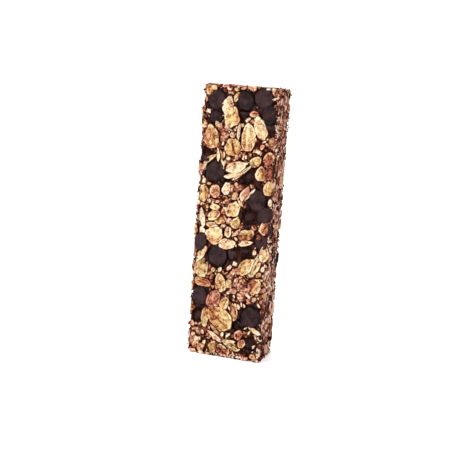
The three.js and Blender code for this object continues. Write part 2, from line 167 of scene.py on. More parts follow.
# Small pieces in sight on the front and on the cut side by it: across, up, length, width, turn, tone.
FRONT_BITS = [
    (9.5, 90.6, 2.7, 1.5, 4, "yellow"), (12.0, 91.5, 2.4, 2.0, 64, "gold"),
    (14.3, 91.9, 2.7, 1.5, 84, "tan"), (17.6, 92.0, 1.5, 1.2, 4, "cream"),
    (24.6, 92.2, 1.5, 1.2, 4, "cream"), (25.0, 88.9, 2.4, 1.1, 64, "cream"),
    (25.8, 86.6, 2.6, 2.0, 30, "rosy"), (0.8, 86.9, 1.4, 1.0, 4, "cream"),
    (0.8, 84.3, 1.5, 1.2, 4, "rosy"), (16.4, 81.6, 1.7, 0.8, 44, "cream"),
    (18.2, 81.2, 1.7, 1.1, 74, "rosy"), (10.7, 68.3, 2.2, 1.4, 84, "cream"),
    (8.4, 73.2, 2.0, 0.9, 14, "cream"), (8.9, 69.3, 3.9, 1.2, -1, "gold"),
    (22.7, 74.8, 2.2, 0.8, 64, "cream"), (20.6, 71.5, 1.7, 1.1, 114, "pale"),
    (22.0, 73.1, 2.7, 2.0, 44, "rosy"), (1.2, 62.4, 2.2, 1.2, 14, "cream"),
    (6.9, 79.1, 1.5, 1.0, 64, "pale"), (8.0, 77.1, 2.7, 2.2, 4, "red"), (5.8, 79.5, 1.5, 1.0, 4, "cream"),
    (16.9, 69.4, 2.0, 1.5, 4, "rosy"), (13.4, 69.0, 1.5, 1.2, 4, "tan"),
    (19.0, 57.0, 6.3, 1.2, 42, "cream"), (5.1, 53.6, 2.2, 1.0, -11, "cream"),
    (0.9, 54.6, 2.4, 0.9, 4, "pale"), (7.8, 53.7, 2.4, 1.5, 84, "rosy"), (11.2, 53.8, 1.7, 1.5, 4, "rosy"),
    (10.6, 51.3, 1.5, 1.5, 4, "cream"), (10.0, 50.3, 1.7, 1.2, 4, "red"),
    (4.3, 51.6, 2.0, 1.5, 4, "orange"), (1.5, 47.4, 3.4, 1.4, -1, "pale"),
    (26.3, 55.0, 3.2, 1.8, -6, "cream"), (23.0, 43.1, 2.4, 2.2, 4, "red"),
    (22.0, 37.8, 2.4, 2.0, 4, "cream"), (15.5, 33.1, 1.5, 1.5, 4, "cream"),
    (16.0, 53.8, 1.5, 1.2, 4, "pale"), (14.0, 59.9, 2.0, 1.8, 4, "tan"), (2.6, 60.2, 1.5, 1.2, 4, "cream"),
    (8.1, 30.2, 2.2, 2.0, 4, "gold"), (10.4, 30.5, 2.4, 1.5, 14, "cream"),
    (14.0, 23.0, 2.4, 1.4, 39, "cream"), (15.0, 29.9, 2.0, 2.0, 4, "pale"),
    (16.5, 27.4, 3.4, 1.8, 14, "tan"), (24.5, 28.6, 3.7, 1.2, 84, "pale"),
    (25.4, 32.5, 2.4, 1.8, 14, "pale"), (19.9, 19.2, 2.0, 1.1, -16, "cream"),
    (25.0, 19.9, 2.4, 1.0, -36, "cream"), (25.8, 21.3, 2.0, 1.8, 4, "tan"),
    (23.2, 21.6, 2.4, 2.0, 49, "tan"), (5.6, 7.9, 2.2, 1.5, -16, "cream"),
    (14.9, 8.1, 2.9, 1.1, 44, "cream"), (12.8, 8.1, 2.4, 1.5, 14, "cream"),
    (10.1, 9.4, 5.9, 1.5, -48, "orange"), (21.0, 11.5, 2.0, 0.8, 54, "cream"),
    (22.2, 9.9, 2.4, 0.9, 29, "cream"), (26.2, 8.4, 2.9, 1.8, -56, "pale"),
    (24.3, 5.4, 2.2, 1.1, 44, "cream"), (6.4, 4.2, 2.7, 1.5, 14, "yellow"), (2.2, 6.6, 2.7, 2.5, 4, "red"),
    (1.6, 10.4, 2.7, 2.2, 4, "rosy"), (0.7, 4.6, 2.0, 1.5, 4, "yellow"),
    (17.4, 1.7, 2.9, 1.0, -31, "cream"), (11.7, 2.3, 2.2, 2.0, 4, "red"),
    (13.9, 3.7, 2.2, 1.0, -56, "cream"), (18.8, 3.5, 2.7, 1.0, 64, "yellow"),
    (14.7, 17.6, 2.2, 1.0, -26, "cream"),
]  # fmt: skip
SIDE_BITS = [
    (2.4, 91.0, 4.1, 4.5, 34, "orange"), (0.9, 87.9, 2.9, 2.4, 44, "rosy"),
    (11.2, 88.5, 4.4, 3.4, 4, "red"), (1.0, 74.5, 3.2, 3.0, 4, "cream"), (7.1, 82.1, 1.7, 2.4, 4, "pale"),
    (7.6, 79.0, 3.7, 2.4, 14, "rosy"), (5.0, 69.8, 2.2, 2.4, 104, "pale"),
    (9.7, 66.2, 1.5, 2.4, 4, "pale"), (9.9, 46.1, 3.7, 3.0, 4, "orange"),
    (3.9, 38.9, 3.4, 2.2, -26, "cream"), (1.2, 58.8, 2.9, 2.6, 14, "gold"),
    (6.9, 59.2, 1.5, 2.0, 4, "rosy"), (8.2, 54.7, 2.2, 2.2, 4, "rosy"), (5.5, 51.6, 1.7, 2.2, 4, "tan"),
    (1.4, 29.5, 2.2, 2.6, 4, "cream"), (0.9, 25.4, 2.9, 2.6, 24, "tan"),
    (6.8, 26.3, 1.5, 1.6, 14, "cream"), (12.8, 24.6, 1.5, 1.6, -6, "cream"),
]  # fmt: skip
BOTTOM_CHIPS = [("base", 13.5, 7.8, 7.2, 7.6, 20)]
BOTTOM_OATS = [
    (4.2, 4.0, 6.6, 4.6, 70, 24, "pale"), (22.6, 4.4, 6.8, 4.8, 110, 30, "gold"),
    (4.6, 11.8, 6.2, 4.8, 95, 26, "tan"), (22.4, 11.6, 7.0, 4.6, 80, 34, "yellow"),
]  # fmt: skip

# What is scattered over each face: a seed, then how many chips, oats, crisps and bits, and the
# shortest and longest of each.
RECIPES = {
    "front": (11, (0, 0, 0), (0, 0, 0), (1, 3, 4.4), (3, 2.6, 3.6)),
    "right": (23, (6, 4.6, 6), (14, 4.8, 7.4), (9, 3.4, 4.8), (8, 2.4, 3.6)),
    "back": (37, (12, 5.4, 7.4), (19, 6, 9.6), (3, 3.6, 5), (4, 2.6, 3.6)),
    "left": (41, (6, 4.6, 6), (13, 4.8, 7.4), (7, 3.4, 4.8), (7, 2.4, 3.6)),
    "top": (59, (2, 4.6, 6), (5, 4.4, 7), (1, 3, 4.4), (2, 2.2, 3)),
    "bottom": (61, (1, 4.6, 6), (2, 4.4, 7), (1, 3, 4.4), (2, 2.2, 3)),
}
KINDS = ("chip", "oat", "crisp", "bit")
SLIMMEST = {"chip": 0.86, "oat": 0.6, "crisp": 0.56, "bit": 0.66}
LIES = ("base", "base", "side", "tip")


def drawer(seed):
    """Numbers from 0 to 1 that are the same at every run."""
    state = seed

    def draw():
        nonlocal state
        state = (state * 1664525 + 1013904223) % 2**32
        return state / 2**32

    return draw


def between(draw, span):
    return span[0] + (span[1] - span[0]) * draw()


def placed(chips, oats, sink, draw):
    """The pieces of a face's own table."""
    pieces = []
    for lie, across, up, wide, long, turn in chips:
        at = dict(across=across, up=up, wide=wide, long=long, turn=turn)
        pieces.append(dict(at, kind="chip", lie=lie, lean=0, sink=between(draw, sink), tone=None))
    for across, up, long, wide, turn, lean, tone in oats:
        at = dict(across=across, up=up, wide=wide, long=long, turn=turn)
        drop = between(draw, sink) * (ON_TOP if wide < SLIM else 1)
        pieces.append(dict(at, kind="oat", lean=lean, sink=drop, tone=tone))
    return pieces


def crisp_patches(draw):
    """Grains of crisped rice in rings round the middles of their patches."""
    pieces = []
    for across, up, radius, number in FRONT_CRISPS:
        for i in range(number):
            way = (i + 0.5 * draw()) / number * math.tau
            long = between(draw, CRISP_LONG)
            turn, sink = 180 * draw(), CRISP_SINK * draw()
            out = CRISP_RING * radius
            at = dict(across=across + out * math.cos(way), up=up + out * math.sin(way))
            at.update(wide=CRISP_WIDE * long, long=long, turn=turn, lean=0, sink=sink, tone=None)
            pieces.append(dict(at, kind="crisp"))
    return pieces


def reach(piece):
    return (piece["long"] + piece["wide"]) / 4


def along_and_aside(x, y, piece):
    """An offset from a piece's middle, taken along the piece and across it."""
    turn = math.radians(piece["turn"])
    return x * math.sin(turn) + y * math.cos(turn), x * math.cos(turn) - y * math.sin(turn)


def lay(name, draw):
    """How a scattered piece lies: flat or tipped up under the roller, edge on where a knife cuts."""
    if name in LAYERS:
        turn = LAYERS[name] + between(draw, ASTRAY)
        return dict(turn=turn, lean=between(draw, ON_EDGE), sink=between(draw, CUT))
    leans = TIPPED if draw() < TIPPED_SHARE else FLAT
    return dict(turn=360 * draw(), lean=between(draw, leans), sink=between(draw, PRESSED))


def scattered(name, recipe, already):
    """Puts a face's scattered pieces in the free places between those it already has."""
    wide, tall = FACES[name][:2]
    draw = drawer(recipe[0])
    taken = [(p["across"], p["up"], reach(p)) for p in already]
    pieces = []
    for kind, (count, shortest, longest) in zip(KINDS, recipe[1:]):
        for _ in range(count):
            for _ in range(TRIES):
                long = between(draw, (shortest, longest))
                lie = LIES[int(4 * draw())]
                across, up = wide * draw(), tall * draw()
                slimmest = SLIMMEST[kind]
                piece = dict(kind=kind, long=long, lie=lie, across=across, up=up, tone=None)
                piece["wide"] = long * between(draw, (slimmest, slimmest + 0.2))
                piece.update(lay(name, draw))
                if kind == "chip":
                    piece["lean"] = 0
                own = reach(piece)
                if taken:
                    x, y, r = np.array(taken).T
                    if (np.hypot(x - across, y - up) <= SPACING * (r + own)).any():
                        continue
                taken.append((across, up, own))
                pieces.append(piece)
                break
    return pieces


# ---- Shapes, each with its outer side along +Z -----------------------------------------------

OAT_THICK = (0.72, 1.05)
RIM_SHADE_WIDTH = 0.3  # a dark line painted along a flake's rim, this wide: painted shade of the narrow gap round it, and the syrup there
BROWNING, GRADING = (0.03, 0.15), (0.02, 0.13)  # how much browner one side is, at its rim and all over
SPLIT_SHARE = 0.25  # of the shorter flakes, this share shows a furrow too
READ_LARGER = 1.04  # a flake of a table is made this much larger, for its wavy rim
COARSE_SEGMENTS = 18  # round a small flake
FURROWED = 10  # a flake longer than this shows the furrow of the whole grain
CHIP_TALL = 0.72  # a chip's height for a base one across
CHIP_SEGMENTS = 36
BLISTERS = 34  # on a grain of crisped rice


def waves(rng, points, count, length, height):
    """A rolling height from a few random sine waves of about the given length."""
    total = np.zeros(len(points))
    for _ in range(count):
        way = rng.normal(size=points.shape[1])
        way *= math.tau / (length * rng.uniform(0.7, 1.5)) / np.linalg.norm(way)
        total += np.sin(points @ way + rng.uniform(0, math.tau))
    return height * total / math.sqrt(count)


def capped(first, middle, last):
    return np.concatenate([[first], middle, [last]])


def rings_of_faces(segments, rings):
    """Faces between rings of points that follow one another, with a point closing each end."""
    ring = range(segments)
    after = [*ring[1:], 0]
    faces = [(0, 1 + a, 1 + b) for a, b in zip(ring, after)]
    for k in range(rings - 1):
        start = 1 + k * segments
        beyond = start + segments
        faces += [(start + a, beyond + a, beyond + b, start + b) for a, b in zip(ring, after)]
    last, end = 1 + (rings - 1) * segments, 1 + rings * segments
    faces += [(last + b, last + a, end) for a, b in zip(ring, after)]
    return faces


def flipped(faces):
    return [tuple(reversed(face)) for face in faces]


UPPER = (0.14, 0.28, 0.42, 0.55, 0.67, 0.78, 0.87, 0.94, 0.985)
LOWER = (0.985, 0.85, 0.5)
UPPER_SMALL = (0.3, 0.6, 0.85, 0.97)
LOWER_SMALL = (0.97, 0.6)


def oat_outline(rng, segments, whole):
    """How far the rim is from an even oval: wavy, split here and there, a broken one cut straight."""
    angle = np.arange(segments) / segments * math.tau
    rim = np.ones(segments)
    for k in range(2, 7):
        rim += rng.normal(0, 0.025) * np.cos(k * angle + rng.uniform(0, math.tau))
    rim += rng.uniform(-0.03, 0.03, segments)
    for _ in range(rng.integers(1, 4)):
        apart = (angle - rng.uniform(0, math.tau) + math.pi) % math.tau - math.pi
        rim -= rng.uniform(0.05, 0.16) * np.exp(-((apart / rng.uniform(0.08, 0.2)) ** 2))
    for _ in range(rng.integers(1, 4) if whole else rng.integers(0, 3)):
        way, reach_out = rng.uniform(0, math.tau), rng.uniform(0.84 if whole else 0.62, 0.94)
        outwards = np.cos(angle - way)
        straight = np.where(outwards > 0.1, reach_out / np.maximum(outwards, 0.1), 9)
        rim = np.minimum(rim, straight * (1 + rng.uniform(-0.03, 0.03, segments)))
    return angle, rim


def oat_flake(piece, rng, fine=True):
    """A rolled oat: flat with a raised rim, creased and patched, a little curled, some with a furrow."""
    long, wide = piece["long"], piece["wide"]
    segments = int(np.clip(6 * long, 26, 52)) if fine else COARSE_SEGMENTS
    angle, rim = oat_outline(rng, segments, whole=bool(piece["tone"]))
    if piece["tone"]:
        rim *= READ_LARGER
    upper, lower = (UPPER, LOWER) if fine else (UPPER_SMALL, LOWER_SMALL)
    share = np.array([*upper, 1.0, *lower])
    side = np.array([1.0] * len(upper) + [0.0] + [-1.0] * len(lower))
    s = capped(0, np.repeat(share, segments), 0)
    up = capped(1, np.repeat(side, segments), -1)
    a = capped(0, np.tile(angle, len(share)), 0)
    out = capped(1, np.tile(rim, len(share)), 1) * s
    x = 0.5 * wide * out * np.cos(a)
    y = 0.5 * long * out * np.sin(a)
    x *= 1 - 0.12 * y / (0.5 * long)
    thick = rng.uniform(*OAT_THICK) * (1 if fine else 0.85)
    body = 0.5 * thick * (1 - 0.2 * s**2) * np.sqrt(np.clip(1 - s**12, 0, 1))
    across = x / (0.5 * wide)
    split = 1.0 if long > FURROWED or rng.random() < SPLIT_SHARE else 0.0
    aside = rng.uniform(-0.2, 0.2)
    furrow = 0.3 * split * thick * np.exp(-(((across - aside) / 0.12) ** 2))
    lip = 0.14 * thick * np.exp(-(((s - 0.86) / 0.1) ** 2))
    ridges = rng.integers(6, 12)
    wrinkle = 0.09 * thick * np.sin(ridges * a + 2.5 * s + rng.uniform(0, 6)) * s**2 * (1 - s**6)
    flat = np.stack([x, y], 1)
    lumps = waves(rng, flat, 4, 2.6, 0.1) - np.abs(waves(rng, flat, 3, 1.8, 0.16))
    relief = lip - (1 - s**4) * furrow + wrinkle + (1 - s**8) * lumps
    bow, arch, twist = rng.uniform(-0.4, 0.45), rng.uniform(-0.35, 0.35), rng.uniform(-0.35, 0.35)

    def curl(u, v):
        return bow * u**2 + arch * v**2 + twist * u * v

    centre, spot = rng.uniform(-0.35, 0.35, 2), rng.uniform(-0.05, 0.12)
    browned = rng.uniform(0, math.tau)
    browning, grading = rng.uniform(*BROWNING), rng.uniform(*GRADING)
    z = up * body + np.where(up > 0, relief, 0.4 * relief) + curl(across, 2 * y / long)
    z += waves(rng, flat, 2, 5.0, 0.1)
    top = z.max()
    z -= top
    points = np.stack([x, y, z], 1)
    faces = rings_of_faces(segments, len(share))

    def paint(local):
        """How toasted and how rosy: browned along one side, pale inside the dark rim line as a painted
        highlight, and with painted shade along the rim and under the flake, which also stands for the
        syrup there.
        """
        lx, ly = local[:, 0] / (0.5 * wide), local[:, 1] / (0.5 * long)
        lx = lx / (1 - 0.12 * ly)
        turn = np.arctan2(ly, lx) % math.tau
        edge = np.interp(turn, angle, rim, period=math.tau)
        r = np.clip(np.hypot(lx, ly) / edge, 0, 1.1)
        off_rim = (1 - r) * (long + wide) / 4
        # Painted shade: a dark line along the rim, for the shade of the narrow gap round the flake, and
        # the syrup that creeps up there.
        rim_shade_and_syrup = np.clip(1.3 - 1.3 * off_rim / RIM_SHADE_WIDTH, 0, 0.95)
        furrow_dark = 0.4 * split * np.exp(-(((lx - aside) / 0.1) ** 2)) * (1 - r**4)
        # Painted highlight: a pale band just inside the dark rim line, where the rim catches the light.
        painted_rim_highlight = -0.28 * np.clip(1 - np.abs(off_rim - 1.8 * RIM_SHADE_WIDTH) / RIM_SHADE_WIDTH, 0, 1)
        one_side = browning * np.clip(0.2 + np.cos(turn - browned), 0, 1.2)
        one_side *= np.clip((r - 0.3) / 0.5, 0, 1)
        grade = grading * r * np.cos(turn - browned)
        patch = spot * np.exp(-((lx - centre[0]) ** 2 + (ly - centre[1]) ** 2) / 0.22) * (1 - r**4)
        mottling = waves(rng, local[:, :2], 3, 2.4, 0.06)
        streak = 0.05 * np.sin(ridges * turn + 2.5 * r) * r
        # Painted shade: the underside and the walls below the top are darker, for the shade under the
        # flake, and the syrup there.
        under = curl(lx, ly) - local[:, 2] - top
        soaked = 0.5 * np.clip(under / thick - 0.1, 0, 0.5)
        toast = furrow_dark + painted_rim_highlight + one_side + grade + patch + mottling + streak + soaked + rim_shade_and_syrup
        return toast, 2.4 * one_side + 2.5 * grade + 0.5 * soaked + rim_shade_and_syrup

    return points, faces, paint


CHIP_PROFILE = [
    (0.3, 0.012), (0.6, 0.004), (0.8, 0.0), (0.91, 0.025), (0.975, 0.08), (1.0, 0.16),
    (0.985, 0.25), (0.92, 0.35), (0.8, 0.46), (0.65, 0.57), (0.5, 0.67), (0.36, 0.77),
    (0.24, 0.87), (0.14, 0.96), (0.06, 1.02),
]  # fmt: skip


def chip(piece, rng):
    """A chocolate chip: a flat base with a soft edge, drawn up to a tip that has folded over."""
    wide, long, lie = piece["wide"], piece["long"], piece["lie"]
    segments = CHIP_SEGMENTS
    angle = np.arange(segments) / segments * math.tau
    radius, height = np.array(CHIP_PROFILE).T
    s = capped(0, np.repeat(radius, segments), 0)
    h = capped(0.02, np.repeat(height, segments), 1.05)
    a = capped(0, np.tile(angle, len(radius)), 0)
    x, y = s * np.cos(a), s * np.sin(a)
    tall = CHIP_TALL * wide
    bend = rng.normal(0, 0.1, 2)
    lump = 1 + waves(rng, np.stack([x, y, h], 1), 4, 1.6, 0.035)
    x = (x * lump + bend[0] * h**2) * 0.5 * wide
    y = (y * lump + bend[1] * h**2) * 0.5 * (wide if lie == "side" else long)
    z = h * tall + waves(rng, np.stack([x, y], 1), 4, 2.8, 0.1)
    points = np.stack([x, y, z], 1)
    faces = flipped(rings_of_faces(segments, len(radius)))
    if lie == "base":
        points = points * (1, -1, -1)
    elif lie == "side":
        points = np.stack([points[:, 0], points[:, 2] - 0.45 * tall, -points[:, 1]], 1)
    points[:, 2] -= points[:, 2].max()

    def paint(local):
        """How bloomed each point is: cloudy, and less at the rim of a base, which is painted shade where
        its edge turns down.
        """
        cloudy = waves(rng, local, 4, 3.0, 0.16)
        if lie != "base":
            return cloudy, 0
        out = np.hypot(2 * local[:, 0] / wide, 2 * local[:, 1] / long)
        # Painted shade: a base is darker at its rim, where its edge turns away from the light.
        return cloudy - 0.35 * np.clip((out - 0.8) / 0.15, 0, 1), 0

    return points, faces, paint


def faces_of(bm):
    return [tuple(v.index for v in face.verts) for face in bm.faces]


def ball(subdivisions):
    """The points and faces of an even unit ball."""
    bm = bmesh.new()
    bmesh.ops.create_icosphere(bm, subdivisions=subdivisions, radius=1)
    points = np.array([v.co for v in bm.verts])
    faces = faces_of(bm)
    bm.free()
    return points, faces


BALLS = {n: ball(n) for n in (1, 3, 4)}
LONG_CRISP = 3.0  # a grain shorter than this has fewer faces


def crisp_grain(piece, rng):
    """A grain of crisped rice: an oval puff, blistered all over, with the seam of the grain."""
    unit, faces = BALLS[4 if piece["long"] > LONG_CRISP else 3]
    wide, long = piece["wide"], piece["long"]
    swell = np.zeros(len(unit))
    for way in rng.normal(size=(BLISTERS, 3)):
        way /= np.linalg.norm(way)
        apart = np.arccos(np.clip(unit @ way, -1, 1))
        swell += rng.uniform(0.05, 0.16) * np.exp(-((apart / rng.uniform(0.16, 0.34)) ** 2))
    seam = -0.14 * np.exp(-(((unit[:, 0] - 0.2) / 0.16) ** 2)) * (unit[:, 2] > 0)
    shape = unit * (0.86 + swell + seam)[:, None]
    points = shape * (0.5 * wide, 0.5 * long, 0.45 * wide)
    points[:, 0] += rng.uniform(-0.12, 0.12) * long * shape[:, 1] ** 2
    points[:, 2] -= points[:, 2].max()

    def paint(local):
        return waves(rng, local, 4, 0.9, 0.14), 0

    return points, faces, paint


def chunk_ball():
    """A ball of 24 quads, for what there is a great deal of."""
    bm = bmesh.new()
    bmesh.ops.create_cube(bm, size=2)
    bmesh.ops.subdivide_edges(bm, edges=bm.edges[:], cuts=1, use_grid_fill=True)
    points = np.array([v.co.normalized() * 0.35 + v.co * 0.6 for v in bm.verts])
    faces = faces_of(bm)
    bm.free()
    return points, faces


CHUNK = chunk_ball()
CRUMB_LONG = 1.2  # a bit shorter than this is a plain crumb of 20 faces


def oat_bit(piece, rng):
    """A broken bit of oat or a clump of crumb: an uneven block with sharp edges."""
    unit, faces = CHUNK if piece["long"] > CRUMB_LONG else BALLS[1]
    wide, long = piece["wide"], piece["long"]
    uneven = 1 + rng.uniform(-0.32, 0.32, (len(unit), 3))
    points = unit * uneven * (0.55 * wide, 0.55 * long, rng.uniform(0.28, 0.5) * wide)
    points[:, 2] += rng.uniform(-0.5, 0.5) * points[:, 0] * points[:, 1] / long
    points[:, 2] -= points[:, 2].max()
    return points, faces, lambda local: (waves(rng, local, 3, 1.4, 0.12), waves(rng, local, 2, 2.0, 0.15))


# ---- Laying, cutting and gathering the pieces ------------------------------------------------


def turned(axis, degrees):
    return np.array(Matrix.Rotation(math.radians(degrees), 3, axis))


def laid(points, piece, name):
    """Lays a piece on its face. Gives its points, and the way back to its own frame."""
    _, _, across, up, corner = FACES[name]
    basis = np.stack([across, up, np.cross(across, up)], 1).astype(float)
    lean = turned("Y", piece["lean"])
    leaned = points @ lean.T
    drop = np.array([0, 0, -leaned[:, 2].max() - piece["sink"]])
    spin = turned("Z", -piece["turn"])
    place = np.array([piece["across"], piece["up"], 0]) + drop
    whole = basis @ spin @ lean
    origin = np.array(corner) + basis @ place
    return points @ whole.T + origin, lambda final: (final - origin) @ whole


RAGGED = (0.6, 0, 1.1)  # how far a piece may break off short of the knife's plane, on each axis
CRUMBLED = (0.3, 2.0)  # how far the bar's long edges and its upper ones have crumbled back
STANDING = (0.1, 0.5)  # and those of the end it stands on


def cutting_planes(rng):
    """The six planes of the bar, each with its own ragged inset, and one along each worn edge."""
    planes = []
    for axis in range(3):
        for way, limit in ((-1, LOW[axis]), (1, HIGH[axis])):
            normal = np.zeros(3)
            normal[axis] = way
            inset = 0 if axis == 2 and way < 0 else RAGGED[axis] * rng.random() ** 1.5
            planes.append((normal, way * limit - inset))
    for first, second in ((0, 1), (0, 2), (1, 2)):
        for ways in ((-1, -1), (-1, 1), (1, -1), (1, 1)):
            normal = np.zeros(3)
            normal[first], normal[second] = ways
            corner = np.where(normal > 0, HIGH, LOW) @ normal
            worn = STANDING if normal[2] < 0 else CRUMBLED
            planes.append((normal / math.sqrt(2), corner / math.sqrt(2) - rng.uniform(*worn)))
    return planes


def knife_cut(points, faces, planes):
    """Cuts off what stands outside the planes, and closes the cuts."""
    crossed = [(normal, limit) for normal, limit in planes if (points @ normal > limit).any()]
    if not crossed:
        return points, faces, [False] * len(faces)
    bm = bmesh.new()
    verts = [bm.verts.new(p) for p in points]
    for face in faces:
        bm.faces.new([verts[i] for i in face])
    flat = bm.faces.layers.int.new("cut")
    for normal, limit in crossed:
        whole = bm.verts[:] + bm.edges[:] + bm.faces[:]
        if not whole:
            break
        cut = bmesh.ops.bisect_plane(
            bm, geom=whole, dist=1e-5, plane_co=normal * limit, plane_no=normal, clear_outer=True
        )
        rim = [e for e in cut["geom_cut"] if isinstance(e, bmesh.types.BMEdge) and e.is_boundary]
        if rim:
            for face in bmesh.ops.edgeloop_fill(bm, edges=rim)["faces"]:
                face[flat] = 1
    wide = [face for face in bm.faces if len(face.verts) > 4]
    bmesh.ops.triangulate(bm, faces=wide)
    bm.verts.index_update()
    new_points = np.array([v.co for v in bm.verts]).reshape(-1, 3)
    new_faces = faces_of(bm)
    flats = [bool(face[flat]) for face in bm.faces]
    bm.free()
    return new_points, new_faces, flats


GUARDED = 0.7  # how much of the ellipse of a piece in sight stays clear, as the square of its radius
GUARD_DEPTH = 0.9
SHADE_AND_SOAK_DEPTHS = (0.3, 1.3)  # painted shade, with syrup: the pieces darken from the first depth under the face down to the second
LARGE_SHADE_AND_SOAK, FILLING_SHADE_AND_SOAK = 0.12, 0.7  # and by how much, the large pieces and what fills between
CUT_CHIP, CUT_CEREAL = 0.1, -0.12  # what the knife adds to how bloomed or toasted a piece is
GRAIN_SPREAD = 40  # so far apart do the pieces take their surface pattern from


def depth_under(points):
    """How far each point lies under the nearest face of the bar."""
    return np.minimum(points - LOW, HIGH - points).min(axis=1)


def pokes_through(points, name, guards):
    """Whether a piece of one face comes up through a piece in sight on another."""
    for other, piece in guards:
        if other == name:
            continue
        _, _, across, up, corner = FACES[other]
        from_corner = points - corner
        x, y = from_corner @ np.array(across) - piece["across"], from_corner @ np.array(up) - piece["up"]
        deep = from_corner @ -np.cross(across, up)
        along, aside = along_and_aside(x, y, piece)
        inside = (2 * along / piece["long"]) ** 2 + (2 * aside / piece["wide"]) ** 2 < GUARDED
        if (inside & (deep < GUARD_DEPTH)).any():
            return True
    return False


class Heap:
    """All the pieces of one kind, which become one mesh. Adding one says whether any of it is left."""

    def __init__(self):
        self.shapes = []

    def add(self, shape, piece, name, rng, tone, guards=()):
        points, faces, paint = shape
        final, back = laid(points, piece, name)
        planes = cutting_planes(rng)
        if pokes_through(final, name, guards):
            return False
        final, faces, flat = knife_cut(final, faces, planes)
        if not len(final):
            return False
        if piece["kind"] == "bit":
            flat = [True] * len(faces)
        local = back(final)
        # Painted shade: the deeper a point lies under the bar's face, the darker and redder it is, for the
        # shade in the hollows and the syrup pooled there.
        deep = np.clip((depth_under(final) - SHADE_AND_SOAK_DEPTHS[0]) / (SHADE_AND_SOAK_DEPTHS[1] - SHADE_AND_SOAK_DEPTHS[0]), 0, 1)
        soak = piece.get("soak", FILLING_SHADE_AND_SOAK if name in LAYERS else LARGE_SHADE_AND_SOAK) * deep
        toast, rosy = tone[0] + soak, tone[1] + soak
        cut = np.zeros(len(final))
        if piece["kind"] != "bit":
            for face, is_flat in zip(faces, flat):
                if is_flat:
                    cut[list(face)] = 1
        # A piece's own paint, with its painted shade and highlights, adds to how toasted and how rosy it
        # is.
        toasted, reddened = paint(local)
        toasted = toast + toasted + (CUT_CHIP if piece["kind"] == "chip" else CUT_CEREAL) * cut
        reddened = cut if piece["kind"] == "chip" else np.minimum(rosy, 1) + reddened
        grain = local + rng.uniform(-GRAIN_SPREAD, GRAIN_SPREAD, 3)
        self.shapes.append((final, faces, flat, toasted, reddened, grain))
        return True

    def piece(self, name, material, slot):
        points, faces, flat, *paints = zip(*self.shapes)
        starts = np.cumsum([0] + [len(some) for some in points]).tolist()
        joined = [tuple(i + start for i in face) for start, some in zip(starts, faces) for face in some]
        layers = zip(("toast", "rosy", "grain"), map(np.concatenate, paints))
        smooth = ~np.concatenate(flat).astype(bool)
        thing = mesh_object(name, np.concatenate(points) * MM, joined, material, layers, smooth)
        thing.data.validate()
        return finished(thing)


def in_scene(name, data):
    """A new object in the scene."""
    thing = bpy.data.objects.new(name, data)
    bpy.context.scene.collection.objects.link(thing)
    return thing


def mesh_object(name, points, faces, material, layers=(), smooth=None):
    """A new object of one mesh, smooth unless told, that keeps a number or a vector at each point."""
    mesh = bpy.data.meshes.new(name)
    mesh.from_pydata(points, [], faces)
    mesh.polygons.foreach_set("use_smooth", np.ones(len(faces), bool) if smooth is None else smooth)
    for label, values in layers:
        kind, field = ("FLOAT_VECTOR", "vector") if values.ndim > 1 else ("FLOAT", "value")
        layer = mesh.attributes.new(label, kind, "POINT")
        layer.data.foreach_set(field, values.astype(np.float32).ravel())
    mesh.materials.append(material)
    return in_scene(name, mesh)


def finished(thing):
    """Puts a piece on the bar."""
    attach(thing, "root")
    return thing


# ---- Node helpers ----------------------------------------------------------------------------


class Nodes:
    """The nodes of a tree. An input is named by its socket, or by its number."""

    def __init__(self, tree):
        self.tree = tree

    def feed(self, node, values):
        """Sets a node's inputs, or links them to the outputs of others."""
        for socket, value in values.items():
            if isinstance(value, bpy.types.NodeSocket):
                self.tree.links.new(value, node.inputs[socket])
            else:
                node.inputs[socket].default_value = value

    def add(self, kind, values=None, **settings):
        node = self.tree.nodes.new(kind)
        for key, value in settings.items():
            setattr(node, key, value)
        self.feed(node, values or {})
        return node.outputs

    def math(self, kind, *values, clamp=False):
        return self.add("ShaderNodeMath", dict(enumerate(values)), operation=kind, use_clamp=clamp)[0]

    def vector(self, kind, *values, **named):
        return self.add("ShaderNodeVectorMath", {**dict(enumerate(values)), **named}, operation=kind)[0]

    def attribute(self, name, output="Fac"):
        return self.add("ShaderNodeAttribute", attribute_name=name)[output]

    def mixed(self, share, first, second):
        values = {0: share, 6: first, 7: second}
        return self.add("ShaderNodeMix", values, data_type="RGBA", blend_type="MIX", clamp_factor=True)[2]

    def ramp(self, value, stops):
        node = self.tree.nodes.new("ShaderNodeValToRGB")
        self.feed(node, {0: value})
        points = node.color_ramp.elements
        while len(points) < len(stops):
            points.new(0.5)
        for point, (place, colour) in zip(points, stops):
            point.position = place
            point.color = (*colour, 1)
        return node.outputs[0]

    def mottled(self, vector, scale, crease_width=0.1, pit_size=0.3):
        values = {"Vector": vector, "Scale": scale, "Crease Width": crease_width, "Pit Size": pit_size}
        return self.add("ShaderNodeGroup", values, node_tree=MOTTLE)

    def bump(self, height, strength, distance):
        values = {"Strength": strength, "Distance": distance, "Height": height}
        return self.add("ShaderNodeBump", values)[0]


def new_sockets(group, in_out, kind, *names, default=None):
    for name in names:
        socket = group.interface.new_socket(name, in_out=in_out, socket_type="NodeSocket" + kind)
        if default is not None:
            socket.default_value = default


def fresh_material(name):
    material = bpy.data.materials.new(name)
    material.use_nodes = True
    return material, Nodes(material.node_tree), material.node_tree.nodes["Principled BSDF"]


